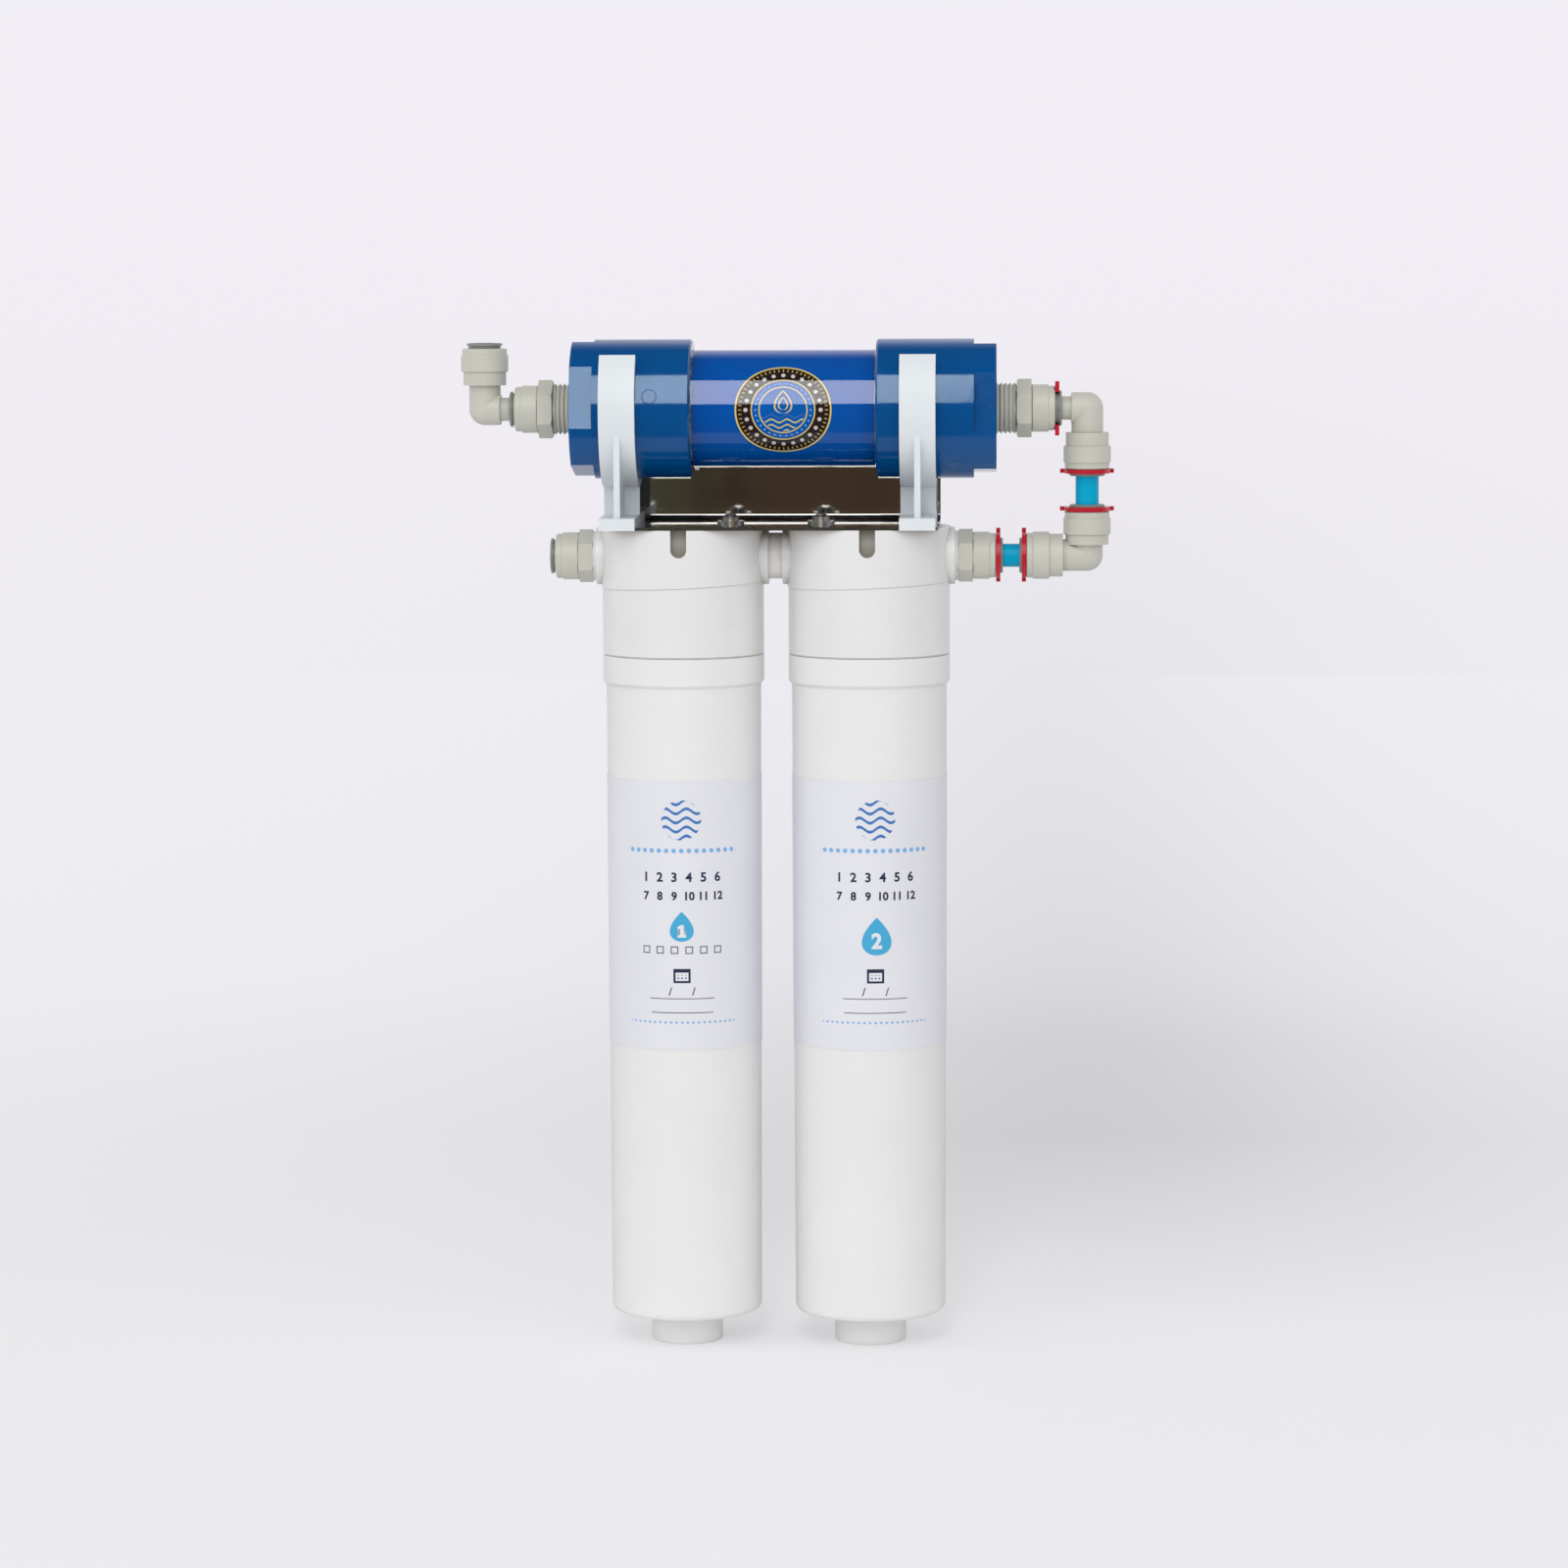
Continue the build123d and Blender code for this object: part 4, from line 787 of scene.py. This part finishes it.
numerals = {
    "months": {"rows": ((-184.9, 5.2, (1, 2, 3, 4, 5, 6)), (-192.6, 4.6, (7, 8, 9, 10, 11, 12))),
               "pitch": 6.0, "bold": 0.16},
    "stage": {"size": {1: 5.2, 2: 8.6}, "bold": 0.32, "lower": {1: 1.9, 2: 2.3}},
    # a plain one with a flag and a foot, in shares of its height
    "one": ((-0.32, -0.50), (0.36, -0.50), (0.36, -0.31), (0.15, -0.31), (0.15, 0.50), (-0.05, 0.50),
            (-0.33, 0.33), (-0.33, 0.13), (-0.12, 0.23), (-0.12, -0.31), (-0.32, -0.31)),
    "thickness": 0.00003, "cut": 0.0005, "merge": 1e-6, "curveSteps": 5,
}


def flatText(items, bold):
    # numerals as one flat closed mesh in metres: (words, across, up, size in millimetres)
    gathered = bmesh.new()
    for words, across, up, size in items:
        curve = bpy.data.curves.new("numeral", "FONT")
        curve.body = words
        curve.size = size * mm
        curve.align_x = "CENTER"
        curve.align_y = "CENTER"
        curve.offset = bold * mm
        curve.extrude = numerals["thickness"] / 2
        curve.resolution_u = numerals["curveSteps"]
        holder = bpy.data.objects.new("numeral", curve)
        bpy.context.scene.collection.objects.link(holder)
        bpy.context.view_layer.update()
        drawn = holder.evaluated_get(bpy.context.evaluated_depsgraph_get())
        mesh = bpy.data.meshes.new_from_object(drawn)
        mesh.transform(Matrix.Translation((across * mm, up * mm, 0)))
        gathered.from_mesh(mesh)
        bpy.data.objects.remove(holder)
        bpy.data.curves.remove(curve)
        bpy.data.meshes.remove(mesh)
    bmesh.ops.remove_doubles(gathered, verts=gathered.verts, dist=numerals["merge"])
    return gathered


def flatOne(across, up, size):
    # the outline as two facing sheets joined by walls, in metres
    outline = np.array(numerals["one"]) * size * mm + np.array((across, up)) * mm
    gathered = bmesh.new()
    sheets = [[gathered.verts.new((*point, height)) for point in outline]
              for height in (-numerals["thickness"] / 2, numerals["thickness"] / 2)]
    gathered.faces.new(sheets[1])
    gathered.faces.new(sheets[0][::-1])
    for first, second in zip(range(len(outline)), [*range(1, len(outline)), 0]):
        gathered.faces.new((sheets[0][first], sheets[0][second], sheets[1][second], sheets[1][first]))
    bmesh.ops.triangulate(gathered, faces=gathered.faces[:])
    return gathered


def printText(name, flat, number, ink):
    # upright cuts close together let the flat numerals follow the round wall
    spread = [vertex.co.x for vertex in flat.verts]
    for cut in np.arange(min(spread), max(spread), numerals["cut"])[1:]:
        bmesh.ops.bisect_plane(flat, geom=flat.verts[:] + flat.edges[:] + flat.faces[:],
                               plane_co=(cut, 0, 0), plane_no=(1, 0, 0))
    bmesh.ops.recalc_face_normals(flat, faces=flat.faces)
    mesh = bpy.data.meshes.new(name)
    flat.to_mesh(mesh)
    flat.free()
    places = np.empty(len(mesh.vertices) * 3)
    mesh.vertices.foreach_get("co", places)
    places = places.reshape(-1, 3)
    label = labels[number]
    outside = labelSheet["gap"] + labelSheet["film"] + numerals["thickness"] / 2
    laid = wrapped(places[:, 0], places[:, 1], outside + places[:, 2], label["centre"], label["turn"])
    mesh.vertices.foreach_set("co", laid.ravel())
    mesh.materials.append(finishes[ink])
    mesh.update()
    piece = bpy.data.objects.new(name, mesh)
    bpy.context.scene.collection.objects.link(piece)
    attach(piece, f"cartridge_{number}")


for number, label in labels.items():
    months = numerals["months"]
    items = [
        (str(month), (place - 2.5) * months["pitch"], up, size)
        for up, size, row in months["rows"] for place, month in enumerate(row)
    ]
    printText(f"months{number}", flatText(items, months["bold"]), number, "navyInk")
    stage, drop = numerals["stage"], label["drop"]
    place = (drop["x"], drop["z"] - stage["lower"][number], stage["size"][number])
    flat = flatOne(*place) if number == 1 else flatText([(str(number), *place)], stage["bold"])
    printText(f"stageNumber{number}", flat, number, "whiteInk")


print("stage: moulding marks")
gateMarks = {
    "leftCapMark": {"x": -0.0499, "turn": 11.8, "radius": 0.0029, "wire": 0.0002, "round": 0.0284},
    "rightCapMark": {"x": 0.0873, "turn": 5.5, "radius": 0.0024, "wire": 0.00012, "flat": 0.0254,
                     "rise": -0.0006},
    "rightCapCore": {"x": 0.0873, "turn": 5.5, "radius": 0.0012, "wire": 0.0001, "flat": 0.0254,
                     "rise": -0.0006},
}
ringSteps = (72, 10)     # places round the mark, and round its wire


def gateMark(name, mark):
    # a fine raised ring: round the mark, and round the wire that stands half out of the wall
    around = np.linspace(0, 2 * np.pi, ringSteps[0], endpoint=False)[:, None]
    wire = np.linspace(0, 2 * np.pi, ringSteps[1], endpoint=False)[None, :]
    reach = mark["radius"] + mark["wire"] * np.cos(wire)
    across = reach * np.cos(around)
    up = reach * np.sin(around)
    proud = np.broadcast_to(mark["wire"] * np.sin(wire), across.shape)
    turn = math.radians(mark["turn"])
    if "round" in mark:
        out, along = mark["round"] + proud, 0.0
        turn = turn + up / mark["round"]
    else:
        out, along = mark["flat"] + proud, mark["rise"] + up
    depth = axisY - out * np.cos(turn) + along * np.sin(turn)
    height = chamberZ + out * np.sin(turn) + along * np.cos(turn)
    points = np.stack((mark["x"] + across, depth, height), axis=-1)
    piece = addPiece(name, points, gridFaces(*ringSteps, True, True), finishes["blue_cap_plastic"],
                     "frame")
    smoothByAngle(piece)


for name, mark in gateMarks.items():
    gateMark(name, mark)


print("stage: floor and light")
studio = {
    "floor": {"x": (-2.6, 2.6), "y": (-0.62, 3.2), "points": 9},
    "floorColour": (0.585, 0.585, 0.59), "grain": 900.0, "grainDepth": 0.00002,
    # near the unit the floor's bounce is raised and it glows for unseen rays: painted bounce light
    "bounce": (0.75, 0.75, 0.755), "nearBounce": (0.97, 0.97, 0.975), "bounceReach": (0.12, 0.45),
    "bounceGlow": 0.20,
    "lift": (0.345, 0.345, 0.355),
    "backdropHigh": (0.880, 0.855, 0.913),
    "backdropLow": (0.858, 0.846, 0.885),
    "toneByDepth": (0.2, 3.0, 0.0, 0.35), "toneByRise": (-0.08, 0.06, 0.35, 1.0),
    "near": 0.40, "far": 1.1, "mirrorFront": (-0.46, -0.38),
    "fill": {"level": (0.552, 0.552, 0.56), "slant": 2.0, "left": 0.22,
             "below": 1.12, "belowRise": -0.12, "top": 0.12},
    # the dark room that mirrors see: two tones that meet at a fold, with darker patches
    "olive": (0.080, 0.079, 0.050), "brown": (0.080, 0.052, 0.036), "deep": (0.020, 0.018, 0.015),
    "room": {"split": (-0.062, -0.050), "fold": (-0.053, 0.001, 0.008), "patches": 9.0,
             "patchTone": (0.5, 0.62, 0.0, 0.45), "behind": (-0.05, 0.10), "level": (0.62, 0.90)},
    # the painted soft shadow behind the unit, a little to its right, on the floor and in the backdrop
    "paintedShadow": {"x": 0.14, "wide": 0.18, "depth": 0.235, "start": 0.75, "power": 0.75, "grows": 0.45,
              "bearing": 0.014, "spread": 0.058, "fades": (-0.085, -0.015)},
}


def backdropTone(graph, height, paintedShadow):
    # the backdrop's tone by height in the view, from the floor's front to the top, less its painted
    # shadow
    tone = graph.tint(height, studio["backdropLow"], studio["backdropHigh"])
    return graph.tint(paintedShadow, tone, (0.0, 0.0, 0.0))


def bell(graph, value, centre, width):
    # one at the centre, half at one width from it, and slowly down to nothing
    reach = graph.calc("DIVIDE", graph.calc("SUBTRACT", value, centre), width)
    return graph.calc("DIVIDE", 1.0, graph.calc("ADD", 1.0, graph.calc("MULTIPLY", reach, reach)))


def studioFloor():
    (left, right), (front, back) = studio["floor"]["x"], studio["floor"]["y"]
    count = studio["floor"]["points"]
    across, deep = np.meshgrid(
        np.linspace(left, right, count), np.linspace(front, back, count), indexing="ij")
    points = np.stack((across, deep, np.full_like(across, cadLow.z)), axis=-1)
    mesh = bpy.data.meshes.new("studioFloor")
    mesh.from_pydata(points.reshape(-1, 3).tolist(), [], gridFaces(count, count, False, False))
    floor = bpy.data.objects.new("studioFloor", mesh)
    bpy.context.scene.collection.objects.link(floor)
    material, graph = newMaterial("studioFloor")
    place = graph.objectPlace()
    split = graph.parts(place)
    distance = graph.spread(split[0], graph.calc("SUBTRACT", split[1], axisY))
    look = studio["paintedShadow"]
    # painted shadow on the floor: a bell across, rising behind the unit and fading slowly further back
    deeper = graph.calc("POWER", graph.calc(
        "DIVIDE", look["start"], graph.calc("MAXIMUM", split[1], look["start"])), look["power"])
    paintedShadow = graph.both(bell(graph, split[0], look["x"], look["wide"]), deeper,
                       graph.fit(split[1], 0.0, look["grows"], 0.0, look["depth"]))
    path = graph.add("ShaderNodeLightPath").outputs
    direct = graph.either(path["Is Camera Ray"], path["Is Transmission Ray"])
    seen = graph.either(direct, path["Is Glossy Ray"])
    grain = graph.noise(place, studio["grain"], 3.0)
    shown = graph.tint(paintedShadow, studio["floorColour"], (0.0, 0.0, 0.0))
    # painted bounce light: near the unit the floor reflects more, and glows for the rays the camera
    # doesn't follow
    close = graph.fit(distance, *studio["bounceReach"], *unitDown)
    bounce = graph.tint(close, studio["bounce"], studio["nearBounce"])
    unseen = graph.both(graph.calc("SUBTRACT", 1.0, seen), close, studio["bounceGlow"])
    lit = graph.add("ShaderNodeBsdfDiffuse", {
        "Color": graph.tint(seen, bounce, shown),
        "Normal": graph.bump(grain, studio["grainDepth"], 0.3)})
    lift = graph.add("ShaderNodeEmission", {
        "Color": graph.tint(paintedShadow, studio["lift"], (0.0, 0.0, 0.0)),
        "Strength": graph.either(direct, unseen)})
    near = graph.add("ShaderNodeAddShader")
    graph.feed(near.inputs[0], lit.outputs[0])
    graph.feed(near.inputs[1], lift.outputs[0])
    height = graph.fit(split[1], *studio["toneByDepth"])
    glow = graph.add("ShaderNodeEmission", {"Color": backdropTone(graph, height, paintedShadow)})
    away = graph.both(graph.fit(distance, studio["near"], studio["far"], *unit), seen)
    # mirrors see the room in front of the table's edge, not more floor
    edge = graph.both(graph.fit(split[1], *studio["mirrorFront"], *unitDown), path["Is Glossy Ray"])
    room = graph.add("ShaderNodeEmission", {"Color": (*studio["brown"], 1.0)})
    surface = near.outputs[0]
    for share, layer in ((away, glow), (edge, room)):
        surface = graph.blend(share, surface, layer.outputs[0])
    graph.finish(surface)
    mesh.materials.append(material)


def studioWorld():
    # camera and clear rays see the pale backdrop with its painted shadow; mirror rays see it behind the
    # unit and a dark room elsewhere, olive to the left and brown to the right; everything else gets the
    # plain fill, brighter from above, from the left and slantwise from the front
    world = bpy.data.worlds.new("studioWorld")
    bpy.context.scene.world = world
    graph = Graph(world)
    direction = graph.add("ShaderNodeTexCoord").outputs["Generated"]
    split = graph.parts(direction)
    look, dark, fill = studio["paintedShadow"], studio["room"], studio["fill"]
    fade = look["depth"] * (look["start"] / studio["floor"]["y"][1]) ** look["power"]
    # the painted shadow carries on into the backdrop just above the floor's far edge, fading upward
    paintedShadow = graph.both(bell(graph, split[0], look["bearing"], look["spread"]),
                       graph.fit(split[2], *look["fades"], fade, 0.0),
                       graph.calc("GREATER_THAN", split[1], 0.0))
    tone = backdropTone(graph, graph.fit(split[2], *studio["toneByRise"]), paintedShadow)
    room = graph.tint(graph.fit(split[0], *dark["split"], *unit), studio["olive"], studio["brown"])
    patches = graph.fit(graph.noise(direction, dark["patches"], 2.0), *dark["patchTone"])
    room = graph.tint(graph.either(graph.strip(split[0], *dark["fold"]), patches), room, studio["deep"])
    behind = graph.fit(split[1], *dark["behind"], *unit)
    level = graph.fit(graph.calc("ABSOLUTE", split[2]), *dark["level"], *unitDown)
    mirrored = graph.tint(graph.both(behind, level), room, tone)
    path = graph.add("ShaderNodeLightPath").outputs
    seen = graph.either(path["Is Camera Ray"], path["Is Glossy Ray"], path["Is Transmission Ray"])
    shown = graph.tint(path["Is Glossy Ray"], tone, mirrored)
    forward = graph.calc("MAXIMUM", graph.calc("MULTIPLY", split[1], -1.0), 0.0)
    slant = graph.both(graph.calc("ABSOLUTE", split[0]), forward, fill["slant"])
    left = graph.calc("MULTIPLY", split[0], -fill["left"])
    boost = graph.calc("ADD", graph.calc("ADD", 1.0, slant), left)
    boost = graph.both(boost, graph.fit(split[2], fill["belowRise"], 0.0, fill["below"], 1.0),
                       graph.fit(split[2], *unit, 1.0, 1.0 + fill["top"]))
    strength = graph.calc("ADD", seen, graph.calc("MULTIPLY", boost, graph.calc("SUBTRACT", 1.0, seen)))
    colour = graph.tint(seen, fill["level"], shown)
    background = graph.add("ShaderNodeBackground", {"Color": colour, "Strength": strength})
    graph.add("ShaderNodeOutputWorld", {"Surface": background.outputs[0]})


lamps = {
    "keySoftbox": {"bearing": -3.5, "height": 36.0, "distance": 4.0, "size": (0.64, 3.5),
                   "aim": (0.0, axisY, -0.12), "power": 37.0, "colour": (1.0, 0.995, 0.985)},
}


def addSoftbox(name, lamp):
    # an area lamp on a sphere about its aim, which it faces
    bearing, height = math.radians(lamp["bearing"]), math.radians(lamp["height"])
    back = Vector((math.sin(bearing) * math.cos(height), -math.cos(bearing) * math.cos(height),
                   math.sin(height)))
    light = bpy.data.lights.new(name, "AREA")
    light.shape = "RECTANGLE"
    light.size, light.size_y = lamp["size"]
    light.energy = lamp["power"]
    light.color = lamp["colour"]
    softbox = bpy.data.objects.new(name, light)
    bpy.context.scene.collection.objects.link(softbox)
    softbox.rotation_mode = "QUATERNION"
    softbox.location = Vector(lamp["aim"]) + back * lamp["distance"]
    softbox.rotation_quaternion = (-back).to_track_quat("-Z", "Y")


studioFloor()
studioWorld()
for name, lamp in lamps.items():
    addSoftbox(name, lamp)
bpy.context.scene.view_settings.view_transform = "Standard"
